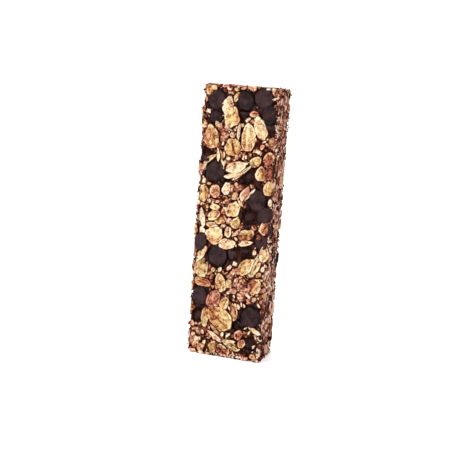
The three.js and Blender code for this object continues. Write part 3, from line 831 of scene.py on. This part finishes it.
def mottle_group():
    """Baked surface: coarse and fine mottling, creases and pits over a piece, as masks and a height."""
    group = bpy.data.node_groups.new("baked_mottle", "ShaderNodeTree")
    new_sockets(group, "INPUT", "Vector", "Vector")
    new_sockets(group, "INPUT", "Float", "Scale", "Crease Width", "Pit Size")
    new_sockets(group, "OUTPUT", "Float", "Coarse", "Fine", "Creases", "Pits", "Height")
    nodes = Nodes(group)
    into = nodes.add("NodeGroupInput")
    vector, scale = into["Vector"], into["Scale"]

    def noise_at(times, detail, rough):
        values = {"Vector": vector, "Scale": nodes.math("MULTIPLY", scale, times), "Detail": detail}
        return nodes.add("ShaderNodeTexNoise", {**values, "Roughness": rough})[0]

    def within(distance, width):
        """1 on a line or in the middle of a pit, and 0 from its width on."""
        return nodes.math("SUBTRACT", 1.0, nodes.math("DIVIDE", distance, width), clamp=True)

    coarse, fine, winding = noise_at(1.0, 3.0, 0.55), noise_at(5.5, 4.0, 0.65), noise_at(1.5, 2.0, 0.5)
    line = within(nodes.math("ABSOLUTE", nodes.math("SUBTRACT", winding, 0.5)), into["Crease Width"])
    gate = nodes.math("MULTIPLY", nodes.math("SUBTRACT", coarse, 0.42), 7.0, clamp=True)
    creases = nodes.math("MULTIPLY", line, gate)
    pit_scale = nodes.math("MULTIPLY", scale, 1.8)
    cells = nodes.add("ShaderNodeTexVoronoi", {"Vector": vector, "Scale": pit_scale})
    chance = nodes.add("ShaderNodeSeparateColor", {0: cells["Color"]})[0]
    pitted = nodes.math("GREATER_THAN", chance, 0.55)
    pits = nodes.math("MULTIPLY", within(cells["Distance"], into["Pit Size"]), pitted)
    height = nodes.math("MULTIPLY_ADD", coarse, 0.6, fine)
    height = nodes.math("MULTIPLY_ADD", creases, -0.5, height)
    height = nodes.math("MULTIPLY_ADD", pits, -0.7, height)
    masks = {"Coarse": coarse, "Fine": fine, "Creases": creases, "Pits": pits, "Height": height}
    nodes.feed(group.nodes.new("NodeGroupOutput"), masks)
    return group


MOTTLE = mottle_group()

# ---- Materials -------------------------------------------------------------------------------

# Toasted oat, from the white of a split rim to a scorched edge; the rosy ones where syrup soaked in.
TOAST = [
    (0.0, (0.94, 0.85, 0.66)),
    (0.14, (0.86, 0.735, 0.43)),
    (0.28, (0.78, 0.585, 0.26)),
    (0.43, (0.70, 0.40, 0.14)),
    (0.6, (0.46, 0.16, 0.046)),
    (0.8, (0.16, 0.037, 0.009)),
    (1.0, (0.034, 0.005, 0.001)),
]
ROSY = [
    (0.0, (0.95, 0.75, 0.66)),
    (0.2, (0.79, 0.45, 0.355)),
    (0.38, (0.56, 0.205, 0.135)),
    (0.56, (0.34, 0.077, 0.047)),
    (0.76, (0.15, 0.024, 0.010)),
    (1.0, (0.036, 0.0045, 0.0014)),
]
BLOOM = [(0.2, (0.006, 0.0014, 0.0016)), (0.5, (0.019, 0.0054, 0.0066)), (0.9, (0.054, 0.021, 0.024))]
DUST = (0.20, 0.105, 0.075, 1)  # specks of crumb dust on the chocolate
# Bound crumb: partly the syrup's own colour and partly painted shade of the gaps between the pieces, so
# near black at its dark end.
BOUND_CRUMB_WITH_SHADE = [
    (0.36, (0.008, 0.003, 0.002)),
    (0.64, (0.024, 0.008, 0.005)),
    (0.84, (0.075, 0.025, 0.014)),
    (1.0, (0.19, 0.075, 0.045)),
]


def cereal_material(name, scale, stretch, shares, pit_size, rough, bump, glaze):
    """Toasted cereal under a thin syrup glaze, coloured by how toasted and how rosy each point is; these
    values also carry the painted shade and highlights of the pieces.

    The shares say how much coarse and fine mottling, creases and pits add to how toasted it is.
    """
    material, nodes, shader = fresh_material(name)
    grain = nodes.vector("MULTIPLY", nodes.attribute("grain", "Vector"), stretch)
    mottle = nodes.mottled(grain, scale, 0.07, pit_size)
    coarse, fine = (nodes.math("SUBTRACT", mottle[mask], 0.5) for mask in ("Coarse", "Fine"))
    toast = nodes.attribute("toast")
    for value, share in zip((coarse, fine, mottle["Creases"], mottle["Pits"]), shares):
        toast = nodes.math("MULTIPLY_ADD", value, share, toast)
    rosy = nodes.math("MULTIPLY_ADD", fine, 0.8, nodes.attribute("rosy"))
    rosy = nodes.math("MULTIPLY_ADD", coarse, 1.7, rosy, clamp=True)
    finish = {
        "Base Color": nodes.mixed(rosy, nodes.ramp(toast, TOAST), nodes.ramp(toast, ROSY)),
        "Roughness": nodes.math("MULTIPLY_ADD", mottle["Fine"], 0.3, rough - 0.15),
        "Coat Weight": nodes.math("MULTIPLY", mottle["Coarse"], glaze),
        "Coat Roughness": 0.25,
        "Specular IOR Level": 0.1,
        "Specular Tint": (1.0, 0.65, 0.45, 1),
        "Normal": nodes.bump(mottle["Height"], 0.6, bump),
    }
    nodes.feed(shader, finish)
    return material


def chocolate_material():
    """Dark chocolate: satin and a little bloomed, with glints, dull where a knife has cut it."""
    material, nodes, shader = fresh_material("dark_chocolate")
    grain = nodes.attribute("grain", "Vector")
    mottle = nodes.mottled(grain, 0.6, 0.05, 0.2)
    # The toast attribute brings in the painted shade at a base chip's rim.
    bloom = nodes.math("SUBTRACT", nodes.attribute("toast"), 0.35)
    bloom = nodes.math("MULTIPLY_ADD", mottle["Coarse"], 1.7, bloom, clamp=True)
    dust = {"Vector": grain, "Scale": 2.6, "Detail": 3.0, "Roughness": 0.7}
    speck = nodes.ramp(nodes.add("ShaderNodeTexNoise", dust)[0], [(0.63, (0, 0, 0)), (0.7, (1, 1, 1))])
    cut = nodes.attribute("rosy")
    rough = nodes.math("MULTIPLY_ADD", mottle["Fine"], 0.25, 0.27)
    scuffed = nodes.ramp(mottle["Fine"], [(0.54, (0, 0, 0)), (0.62, (0.9, 0.9, 0.9))])
    uncut = nodes.math("SUBTRACT", 1.0, cut, clamp=True)
    finish = {
        "Base Color": nodes.mixed(nodes.math("MULTIPLY", speck, 0.5), nodes.ramp(bloom, BLOOM), DUST),
        "Roughness": nodes.math("MULTIPLY_ADD", cut, 0.4, rough),
        "Specular IOR Level": 0.13,
        "Coat Weight": nodes.math("MULTIPLY", scuffed, uncut),
        "Coat Roughness": 0.14,
        "Normal": nodes.bump(mottle["Height"], 0.8, 0.0005),
    }
    nodes.feed(shader, finish)
    return material


def syrup_material():
    """The bound crumb between the pieces: dark syrup with rosy crumb showing through, made darker still as
    painted shade of the gaps.
    """
    material, nodes, shader = fresh_material("syrup_crumb")
    mottle = nodes.mottled(nodes.add("ShaderNodeTexCoord")["Object"], 420)
    depth = nodes.math("MULTIPLY_ADD", mottle["Fine"], 0.6, mottle["Coarse"])
    depth = nodes.math("MULTIPLY_ADD", nodes.attribute("rosy"), 0.25, depth)
    finish = {
        "Base Color": nodes.ramp(nodes.math("MULTIPLY", depth, 0.8), BOUND_CRUMB_WITH_SHADE),
        "Roughness": nodes.math("MULTIPLY_ADD", mottle["Fine"], 0.35, 0.2),
        "Specular IOR Level": 0.15,
        "Specular Tint": (1.0, 0.5, 0.3, 1),
        "Normal": nodes.bump(mottle["Height"], 0.8, 0.0004),
    }
    nodes.feed(shader, finish)
    return material


# How the grain is stretched, then the shares.
FLAKY, FLAKY_MARKS = (1.3, 0.75, 1.0), (0.45, 0.4, 0.6, 0.22)
EVEN, PUFFED_MARKS, CRUMB_MARKS = (1.0, 1.0, 1.0), (0.7, 0.8, 0.5, 0.35), (0.75, 0.8, 0.5, 0.35)
OAT = cereal_material("toasted_oat", 0.75, FLAKY, FLAKY_MARKS, 0.24, 0.5, 0.00034, 0.15)
RICE = cereal_material("crisped_rice", 1.1, EVEN, PUFFED_MARKS, 0.4, 0.45, 0.00030, 0.25)
CRUMB = cereal_material("granola_crumb", 0.9, EVEN, CRUMB_MARKS, 0.35, 0.55, 0.00026, 0.08)
CHOCOLATE = chocolate_material()
SYRUP = syrup_material()

# ---- The core --------------------------------------------------------------------------------

CORE_DEPTH = np.array([0.95, 1.5, 0.95])  # how far the bound crumb lies under the faces
CORE_EDGE = 0.4  # and how much less along the bar's edges
CORE_STEP = 0.42
CORE_ROUGH, CORE_PITS = 0.5, 0.28
CUT_SIDE = (1.9, 2.2)  # the core's cut sides: this near them, and this far from the front and back
# Where the front is all crumb and crisped rice: across, up, half width, half height.
CRUMB_PATCHES = [
    (8.4, 77.0, 3.6, 3.0), (13.7, 57.8, 3.6, 3.2), (17.1, 25.7, 6.5, 5.6), (21.9, 21.7, 5.0, 3.6),
    (26.0, 28.8, 2.4, 9.0), (2.6, 7.6, 3.0, 3.4), (25.5, 86.1, 2.0, 6.0), (25.2, 75.2, 2.6, 6.5),
    (25.9, 61.8, 1.8, 8.0), (26.4, 8.4, 2.2, 8.0), (2.4, 82.2, 1.6, 5.0), (20.8, 44.5, 2.4, 2.0),
]  # fmt: skip


def crumbly(name, across, up):
    """How much of a face is crumb and crisped rice at a place, from 0 to 1."""
    if name in LAYERS:
        return min(1, max(0.1, 0.45 + 1.4 * noise.noise(Vector((0.3 * across, 0.2 * up, 3)))))
    if name == "back":
        return min(1, max(0, 0.2 + 2.2 * noise.noise(Vector((0.13 * across, 0.13 * up, 7)))))
    near = [math.hypot((across - x) / rx, (up - y) / ry) for x, y, rx, ry in CRUMB_PATCHES]
    return min(1, max(0, 1.6 - 1.3 * min(near)))


def by_a_chip(across, up):
    """Whether a place of the front is under a chip or within its smear."""
    for chip_there in own_pieces["front"]:
        off = math.hypot(across - chip_there["across"], up - chip_there["up"])
        if chip_there["kind"] == "chip" and off < 0.5 * chip_there["long"] + SMEARED:
            return True
    return False


def rosiness(points):
    """How crumbly the core is at each point, by the face that it lies under: not at all by a chip."""
    nearest = np.argmin(np.abs(np.stack([points[:, 1] - LOW[1], points[:, 1] - HIGH[1]])), axis=0)
    rosy = np.empty(len(points))
    for i, (x, y, z) in enumerate(points):
        under = min(x - LOW[0], HIGH[0] - x, z - LOW[2], HIGH[2] - z)
        if under < CUT_SIDE[0] and LOW[1] + CUT_SIDE[1] < y < HIGH[1] - CUT_SIDE[1]:
            rosy[i] = 0.8
        elif nearest[i] == 0 and by_a_chip(x - LOW[0], z - LOW[2]):
            rosy[i] = -0.1
        elif nearest[i] == 0:
            rosy[i] = crumbly("front", x - LOW[0], z - LOW[2])
        else:
            rosy[i] = crumbly("back", HIGH[0] - x, z - LOW[2])
    return 0.1 + 0.9 * rosy


def syrup_core():
    """A block of bound crumb, rolling and pitted all over, nearer the faces along its edges."""
    half = (HIGH - LOW) / 2 - CORE_DEPTH
    middle = (HIGH + LOW) / 2
    counts = np.maximum(2, np.round(2 * half / CORE_STEP)).astype(int)
    points, faces, index = [], [], {}

    def corner(i, j, k):
        key = (i, j, k)
        if key not in index:
            index[key] = len(points)
            points.append(2 * np.array(key) / counts - 1)
        return index[key]

    for axis in range(3):
        u, v = (axis + 1) % 3, (axis + 2) % 3
        for end in (0, counts[axis]):
            for a in range(counts[u]):
                for b in range(counts[v]):
                    quad = []
                    for da, db in ((0, 0), (1, 0), (1, 1), (0, 1)):
                        at = [0, 0, 0]
                        at[axis], at[u], at[v] = end, a + da, b + db
                        quad.append(corner(*at))
                    faces.append(tuple(quad) if end else tuple(reversed(quad)))
    unit = np.array(points)
    p = unit * half
    edge = (np.sort(np.abs(unit), axis=1)[:, 1] ** 8)[:, None]
    rolling = np.array([noise.noise(Vector(q) * 0.42) + 0.5 * noise.noise(Vector(q) * 1.1) for q in p])
    pitted = np.array([noise.noise(Vector(q) * 2.6 + Vector((9, 4, 2))) for q in p])
    inwards = (CORE_ROUGH * (0.5 - rolling) + CORE_PITS * (0.5 - pitted))[:, None] - CORE_EDGE * edge
    p = p * (1 - inwards / half) + middle
    rosy = rosiness(p)
    layers = [("rosy", rosy), ("crumbs", np.where(rosy < 0.05, 0, 0.35 + 0.65 * rosy))]
    return mesh_object("syrup_core", p * MM, faces, SYRUP, layers)


# ---- The crumbs: Geometry Nodes --------------------------------------------------------------


def crumb_tree():
    """Crumbs over a surface: uneven little lumps, as dense as the surface's crumbs attribute says."""
    tree = bpy.data.node_groups.new("crumbs_on_syrup", "GeometryNodeTree")
    new_sockets(tree, "INPUT", "Geometry", "Geometry")
    for name, value in (("Density", 1.0), ("Smallest", 0.0003), ("Largest", 0.0008)):
        new_sockets(tree, "INPUT", "Float", name, default=value)
    new_sockets(tree, "INPUT", "Int", "Seed", default=3)
    new_sockets(tree, "OUTPUT", "Geometry", "Geometry")
    nodes = Nodes(tree)
    into = nodes.add("NodeGroupInput")

    def between_values(low, high, seed):
        node = "FunctionNodeRandomValue"
        if isinstance(low, tuple):
            return nodes.add(node, {0: low, 1: high, "Seed": seed}, data_type="FLOAT_VECTOR")[0]
        return nodes.add(node, {2: low, 3: high, "Seed": seed}, data_type="FLOAT")[1]

    def keep(geometry, name, value, kind="FLOAT", domain="INSTANCE"):
        values = {"Geometry": geometry, "Name": name, "Value": value}
        return nodes.add("GeometryNodeStoreNamedAttribute", values, data_type=kind, domain=domain)[0]

    share = nodes.add("GeometryNodeInputNamedAttribute", {"Name": "crumbs"}, data_type="FLOAT")
    density = nodes.math("MULTIPLY", share["Attribute"], into["Density"])
    surface = {"Mesh": into["Geometry"], "Seed": into["Seed"], "Density": density}
    lump = nodes.add("GeometryNodeMeshIcoSphere", {"Radius": 1.0, "Subdivisions": 1})[0]
    dent = nodes.add("ShaderNodeTexNoise", {"Scale": 1.6, "Detail": 1.0})["Color"]
    dent = nodes.vector("SCALE", nodes.vector("SUBTRACT", dent, (0.5, 0.5, 0.5)), Scale=1.7)
    size = between_values(into["Smallest"], into["Largest"], 11)
    squash = between_values((0.6, 0.7, 0.45), (1.2, 1.5, 0.9), 12)
    each = {
        "Points": nodes.add("GeometryNodeDistributePointsOnFaces", surface)["Points"],
        "Instance": nodes.add("GeometryNodeSetPosition", {"Geometry": lump, "Offset": dent})[0],
        "Rotation": between_values((0, 0, 0), (6.3, 6.3, 6.3), 13),
        "Scale": nodes.vector("SCALE", squash, Scale=size),
    }
    crumbs = nodes.add("GeometryNodeInstanceOnPoints", each)[0]
    crumbs = keep(crumbs, "toast", between_values(0.0, 0.75, 14))
    crumbs = keep(crumbs, "rosy", between_values(0.15, 1.0, 15))
    crumbs = nodes.add("GeometryNodeRealizeInstances", {"Geometry": crumbs})[0]
    grain = nodes.vector("SCALE", nodes.add("GeometryNodeInputPosition")[0], Scale=1 / MM)
    crumbs = keep(crumbs, "grain", grain, "FLOAT_VECTOR", "POINT")
    crumbs = nodes.add("GeometryNodeSetShadeSmooth", {"Geometry": crumbs, "Shade Smooth": False})[0]
    crumbs = nodes.add("GeometryNodeSetMaterial", {"Geometry": crumbs, "Material": CRUMB})[0]
    nodes.feed(tree.nodes.new("NodeGroupOutput"), {"Geometry": crumbs})
    return tree


def scatter_crumbs(tree, surface, name, sizes):
    """Runs the crumb tree over a copy of a surface, and keeps the crumbs as a plain mesh."""
    carrier = in_scene("crumb_carrier", surface.data.copy())
    modifier = carrier.modifiers.new("crumbs", "NODES")
    modifier.node_group = tree
    for socket in tree.interface.items_tree:
        if socket.in_out == "INPUT" and socket.name in sizes:
            modifier[socket.identifier] = sizes[socket.name]
    evaluated = carrier.evaluated_get(bpy.context.evaluated_depsgraph_get())
    mesh = bpy.data.meshes.new_from_object(evaluated)
    mesh.name = name
    carried = carrier.data
    carrier.modifiers.remove(modifier)
    bpy.data.objects.remove(carrier)
    bpy.data.meshes.remove(carried)
    return finished(in_scene(name, mesh))


# ---- The pieces ------------------------------------------------------------------------------

# The rounds that fill what is still bare: longest, shortest, how crumbly a place they may take, and
# how far they lie under the face.
FILL = (
    (5.4, 3.4, 0.4, (0.05, 0.35)),
    (3.4, 2.2, 0.5, (0.05, 0.4)),
    (2.2, 1.5, 0.8, (0.05, 0.6)),
    (1.5, 1.0, 1.0, (0.1, 0.8)),
    (1.0, 0.65, 1.0, (0.2, 0.9)),
    (0.65, 0.45, 1.0, (0.3, 1.1)),
)
GRID = 0.12  # the fineness of the record of what is covered
GAP = {"chip": 0.1, "oat": 0.05, "crisp": 0.02, "bit": 0.01}  # the dark line that stays round a piece
COVERING = 1.3  # a leaning flake covers what lies less than this under its raised side
OVERLAP = 0.2  # how much of a filling piece may lie under others
SMEARED = 0.9  # chocolate is smeared this far round a chip
SMEAR_SHARE = 0.8  # and this share of the small pieces there is of chocolate
SMALL_OAT = 1.9  # a filling piece longer than this is a flake
FEWER_CRISPS = 0.8  # the share of the crisped grains that is left out again
FILLING_WIDE, FILLING_LEAN = (0.4, 0.9), 16  # a filling piece's width for its length, and its lean
SMEAR_SINK = 0.2  # how much deeper a smear lies
SMALL_LEAN, SMALL_SINK = (-14, 14), (0.0, 0.25)  # of the small pieces of a table
IN_SIGHT = 30  # a flake that leans less than this shows whole

rng = np.random.default_rng(20)
heaps = {kind: Heap() for kind in ("chip", "oat", "small", "crisp", "bit", "cut")}
SHAPES = {"chip": chip, "oat": oat_flake, "crisp": crisp_grain, "bit": oat_bit}
COMMON_TONES = ("cream", "pale", "pale", "yellow", "yellow", "gold", "orange", "tan", "rosy")
# What crumb is made of, in a crumbly place, elsewhere, and where it is cut: up to which share,
# toast from and to, rosy from and to.
CRUMB_TONES = {
    "crumbly": ((0.3, -0.05, 0.12, 0.3, 1.0), (0.65, 0.2, 0.42, 0.5, 1.0), (1.0, 0.5, 0.95, 0.8, 1.0)),
    "open": ((0.3, 0.0, 0.16, 0.1, 1.0), (0.65, 0.22, 0.46, 0.4, 1.0), (1.0, 0.5, 0.95, 0.7, 1.0)),
    "cut": ((0.4, -0.2, 0.0, 0.2, 1.0), (0.6, 0.2, 0.45, 0.6, 1.0), (1.0, 0.75, 1.2, 0.8, 1.0)),
}
guards = []  # the pieces in sight, each with its face, that no piece of another face may come through


def tone_of(piece, rng, name):
    """How toasted and how rosy a piece is."""
    if piece.get("tone"):
        toast, rosy = TONES[piece["tone"]]
        return toast + rng.normal(0, 0.02), rosy + rng.uniform(-0.1, 0.25)
    if piece["kind"] == "crisp":
        return rng.uniform(0.1, 0.4), rng.uniform(0.5, 1)
    toast, rosy = TONES[COMMON_TONES[rng.integers(len(COMMON_TONES))]]
    return toast + rng.normal(0, 0.04), min(1, rosy + (0.7 if name in LAYERS else 0.15))


def crumb_tone(name, share, rng):
    """How toasted and how rosy a crumb is, by its face and how crumbly its place is."""
    draw = rng.random()
    kind = "cut" if name in LAYERS else "crumbly" if share > rng.random() else "open"
    for most, *spans in CRUMB_TONES[kind]:
        if draw <= most:
            return rng.uniform(*spans[:2]), rng.uniform(*spans[2:])


class Cover:
    """What the pieces of a face cover of it, and what is smeared with chocolate, on a fine grid."""

    def __init__(self, name):
        wide, tall = FACES[name][:2]
        self.taken = np.zeros((int(tall / GRID), int(wide / GRID)), bool)
        self.smeared = self.taken.copy()

    def offsets(self, piece, window):
        """How far up and across from a piece's middle each cell of a window is."""
        up, across = ((np.arange(span.start, span.stop) + 0.5) * GRID for span in window)
        return (up - piece["up"])[:, None], (across - piece["across"])[None]

    def under(self, piece, more):
        """The window of the grid round a piece, and which of it lies under the piece made larger."""
        half = 0.5 * piece["long"] + more
        window = []
        for middle, count in zip((piece["up"], piece["across"]), self.taken.shape):
            first, last = max(0, int((middle - half) / GRID)), min(count, int((middle + half) / GRID) + 1)
            window.append(slice(first, max(first, last)))
        y, x = self.offsets(piece, window)
        along, aside = along_and_aside(x, y, piece)
        seen = 0.5 * piece["wide"] * max(0.35, math.cos(math.radians(piece["lean"]))) + more
        return tuple(window), (along / half) ** 2 + (aside / seen) ** 2 < 1

    def mark(self, piece):
        """Notes what a piece covers: of one that leans, only the part that is near the face."""
        window, inside = self.under(piece, GAP[piece["kind"]])
        lean = math.radians(piece["lean"])
        y, x = self.offsets(piece, window)
        aside = along_and_aside(x, y, piece)[1]
        depth = 0.5 * piece["wide"] * abs(math.sin(lean)) + aside * math.tan(lean)
        self.taken[window] |= inside & (depth < COVERING) if piece["kind"] == "oat" else inside
        if piece["kind"] == "chip":
            window, inside = self.under(piece, SMEARED)
            self.smeared[window] |= inside

    def has_room(self, piece):
        window, inside = self.under(piece, 0)
        return inside.any() and self.taken[window][inside].mean() < OVERLAP


def filling(name, cover, rng):
    """Small pieces for the places of a face that are still bare, the larger ones first."""
    for longest, shortest, most_crumbly, sink in FILL:
        rows, columns = np.nonzero(~cover.taken)
        tries = int(5 * len(rows) * GRID**2 / shortest**2)
        for k in rng.permutation(len(rows))[:tries]:
            long = rng.uniform(shortest, longest)
            across, up = (columns[k] + 0.5) * GRID, (rows[k] + 0.5) * GRID
            piece = dict(across=across, up=up, long=long, tone=None)
            piece["wide"] = long * rng.uniform(*FILLING_WIDE)
            piece.update(turn=rng.uniform(0, 360), lean=rng.normal(0, FILLING_LEAN))
            share = crumbly(name, across, up)
            smear = cover.smeared[rows[k], columns[k]] and rng.random() < SMEAR_SHARE
            piece["kind"] = "bit"
            if long > SMALL_OAT:
                if smear:
                    continue
                piece["kind"] = "crisp" if share > most_crumbly else "oat"
                if piece["kind"] == "crisp" and rng.random() < FEWER_CRISPS:
                    continue
            piece.update(sink=rng.uniform(*sink) + (SMEAR_SINK if smear else 0), soak=FILLING_SHADE_AND_SOAK)
            if cover.has_room(piece):
                yield piece, share, smear


def small_pieces(table, rng):
    """The small pieces of a table: across, up, length, width, turn, tone."""
    pieces = []
    for across, up, long, wide, turn, tone in table:
        piece = dict(across=across, up=up, long=long, wide=wide, turn=turn, tone=tone, soak=LARGE_SHADE_AND_SOAK)
        piece.update(lean=rng.uniform(*SMALL_LEAN), sink=rng.uniform(*SMALL_SINK))
        pieces.append(dict(piece, kind="oat" if long > SMALL_OAT else "bit"))
    return pieces


def hides_one(piece, bits):
    """Whether a scattered piece lies over a small one that shows."""
    for bit in bits:
        along, aside = along_and_aside(bit["across"] - piece["across"], bit["up"] - piece["up"], piece)
        if abs(along) < 0.5 * piece["long"] and abs(aside) < 0.3 * piece["wide"] + 0.3 * bit["long"]:
            return True
    return False


def cover_face(name, already, bits, rng):
    """Covers a face: the large pieces, the small ones of its table, and what fills the places between."""
    main = already + [p for p in scattered(name, RECIPES[name], already) if not hides_one(p, bits)]
    cover = Cover(name)
    crumb_heap = "cut" if name in LAYERS else "bit"

    def lay_down(piece, heap, tone):
        oat = piece["kind"] == "oat"
        shape = oat_flake(piece, rng, fine=heap == "oat") if oat else SHAPES[piece["kind"]](piece, rng)
        if heaps[heap].add(shape, piece, name, rng, tone, guards):
            cover.mark(piece)

    for piece in main:
        lay_down(piece, piece["kind"], tone_of(piece, rng, name))
    for piece in bits:
        lay_down(piece, "small" if piece["kind"] == "oat" else crumb_heap, tone_of(piece, rng, name))
    for piece, share, smear in filling(name, cover, rng):
        kind = piece["kind"]
        heap = {"oat": "small", "bit": "chip" if smear else crumb_heap}.get(kind, kind)
        tone = crumb_tone(name, share, rng) if kind == "bit" else tone_of(piece, rng, name)
        lay_down(piece, heap, tone)
    in_sight = [p for p in main if p["kind"] == "chip" or (p["tone"] and abs(p["lean"]) < IN_SIGHT)]
    guards.extend((name, piece) for piece in in_sight)


place_draw = drawer(PLACE_SEED)
own_pieces = {"front": placed(FRONT_CHIPS, FRONT_OATS, PRESSED, place_draw) + crisp_patches(place_draw)}
own_pieces["bottom"] = placed(BOTTOM_CHIPS, BOTTOM_OATS, CUT, place_draw)
own_bits = {"front": small_pieces(FRONT_BITS, rng), "right": small_pieces(SIDE_BITS, rng)}
for name in FACES:
    cover_face(name, own_pieces.get(name, []), own_bits.get(name, []), rng)

HOLD = 0.3  # a piece that is further than this from everything else would hang in the air
CRUMB_SIZES = {"Density": 500000.0, "Smallest": 0.00022, "Largest": 0.00055, "Seed": 3}  # in metres


def drop_loose(core):
    """Takes out the pieces that touch neither the core nor another piece."""
    clouds = [shape[0] for heap in heaps.values() for shape in heap.shapes]
    clouds.append(np.array([vertex.co for vertex in core.data.vertices]) / MM)
    tree = KDTree(sum(len(cloud) for cloud in clouds))
    for number, cloud in enumerate(clouds):
        for point in cloud.tolist():
            tree.insert(point, number)
    tree.balance()
    number = 0
    for heap in heaps.values():
        held = []
        for shape in heap.shapes:
            near = (index for point in shape[0].tolist() for _, index, _ in tree.find_range(point, HOLD))
            if any(index != number for index in near):
                held.append(shape)
            number += 1
        heap.shapes = held


core = finished(syrup_core())
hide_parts("bar")
drop_loose(core)
heaps["chip"].piece("chocolate_chips", CHOCOLATE, "dark_chocolate")
heaps["oat"].piece("rolled_oats", OAT, "toasted_oat")
heaps["small"].piece("small_oats", OAT, "toasted_oat")
heaps["crisp"].piece("rice_crisps", RICE, "crisped_rice")
heaps["bit"].piece("oat_bits", CRUMB, "toasted_oat")
heaps["cut"].piece("cut_side_bits", CRUMB, "toasted_oat")
scatter_crumbs(crumb_tree(), core, "crumbs", CRUMB_SIZES)

# ---- Stage, light and camera -----------------------------------------------------------------

FLOOR, COVE, WALL = 0.7, 0.5, 1.6  # its radius, that of the curve at its rim, and its height
FLOOR_DISC = 0.12  # the radius of its middle, round the bar
FLOOR_GLOW = 0.52  # how bright the camera sees it, for an even ground
SKY = 0.19


def studio_floor():
    """A round pale floor that curves up into a wall all round."""
    segments = 96
    curve = np.linspace(0, math.pi / 2, 14)
    rise = [(FLOOR + COVE * math.sin(t), COVE * (1 - math.cos(t))) for t in curve]
    profile = [(FLOOR_DISC, 0.0), *rise, (FLOOR + COVE, WALL)]
    angles = [i / segments * math.tau for i in range(segments)]
    points = [(0.0, 0.0, 0.0)]
    points += [(out * math.cos(a), out * math.sin(a), height) for out, height in profile for a in angles]
    faces = rings_of_faces(segments, len(profile))[:-segments]
    material, nodes, shader = fresh_material("pale_floor")
    seen = nodes.add("ShaderNodeLightPath")["Is Camera Ray"]
    finish = {
        "Emission Strength": nodes.math("MULTIPLY", seen, FLOOR_GLOW),
        "Emission Color": (1, 1, 1, 1),
        "Base Color": (0.86, 0.86, 0.86, 1),
        "Roughness": 0.9,
        "Specular IOR Level": 0.2,
    }
    nodes.feed(shader, finish)
    floor = mesh_object("floor", points, faces, material)
    floor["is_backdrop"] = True


def soft_light(name, place, size, watts, colour=(1, 1, 1)):
    light = bpy.data.lights.new(name, "AREA")
    light.shape = "DISK"
    light.size, light.energy, light.color = size, watts, colour
    lamp = in_scene(name, light)
    lamp.location = place
    aim = MIDDLE - lamp.location
    lamp.rotation_euler = aim.to_track_quat("-Z", "Y").to_euler()


studio_floor()
soft_light("key_light", (-0.42, -0.55, 0.62), 0.26, 6.6, (1.0, 0.985, 0.96))
soft_light("fill_light", (0.85, -0.2, 0.3), 0.4, 2.35, (1.0, 0.93, 0.9))
soft_light("back_light", (-0.2, 0.7, 0.6), 0.6, 3.5)
world = bpy.data.worlds.new("studio")
world.use_nodes = True
sky = world.node_tree.nodes["Background"]
Nodes(world.node_tree).feed(sky, {"Color": (1, 1, 1, 1), "Strength": SKY})
bpy.context.scene.world = world
bpy.context.scene.view_settings.view_transform = "Standard"

AZIMUTH, ELEVATION, ROLL = 17.3, 8.6, 4.2
DISTANCE, LENS = 0.3, 66.25
FRAME = 474  # pixels
BAR_AT = (238.5, 221.5)  # where the bar's middle shows, in pixels


def camera():
    a, e = math.radians(AZIMUTH), math.radians(ELEVATION)
    back = Vector((math.sin(a) * math.cos(e), -math.cos(a) * math.cos(e), math.sin(e)))
    right = Vector((math.cos(a), math.sin(a), 0))
    up = back.cross(right)
    r = math.radians(ROLL)
    right, up = right * math.cos(r) + up * math.sin(r), up * math.cos(r) - right * math.sin(r)
    data = bpy.data.cameras.new("camera")
    data.lens = LENS
    data.shift_x = (FRAME / 2 - BAR_AT[0]) / FRAME
    data.shift_y = (BAR_AT[1] - FRAME / 2) / FRAME
    data.clip_start, data.clip_end = 0.01, 20
    eye = in_scene("camera", data)
    turn = Matrix((right, up, back)).transposed().to_4x4()
    eye.matrix_world = Matrix.Translation(MIDDLE + back * DISTANCE) @ turn
    bpy.context.scene.camera = eye


camera()

boxes = {"cad": CAD_BOX, "visual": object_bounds()}
{key: [list(corner) for corner in box] for key, box in boxes.items()}
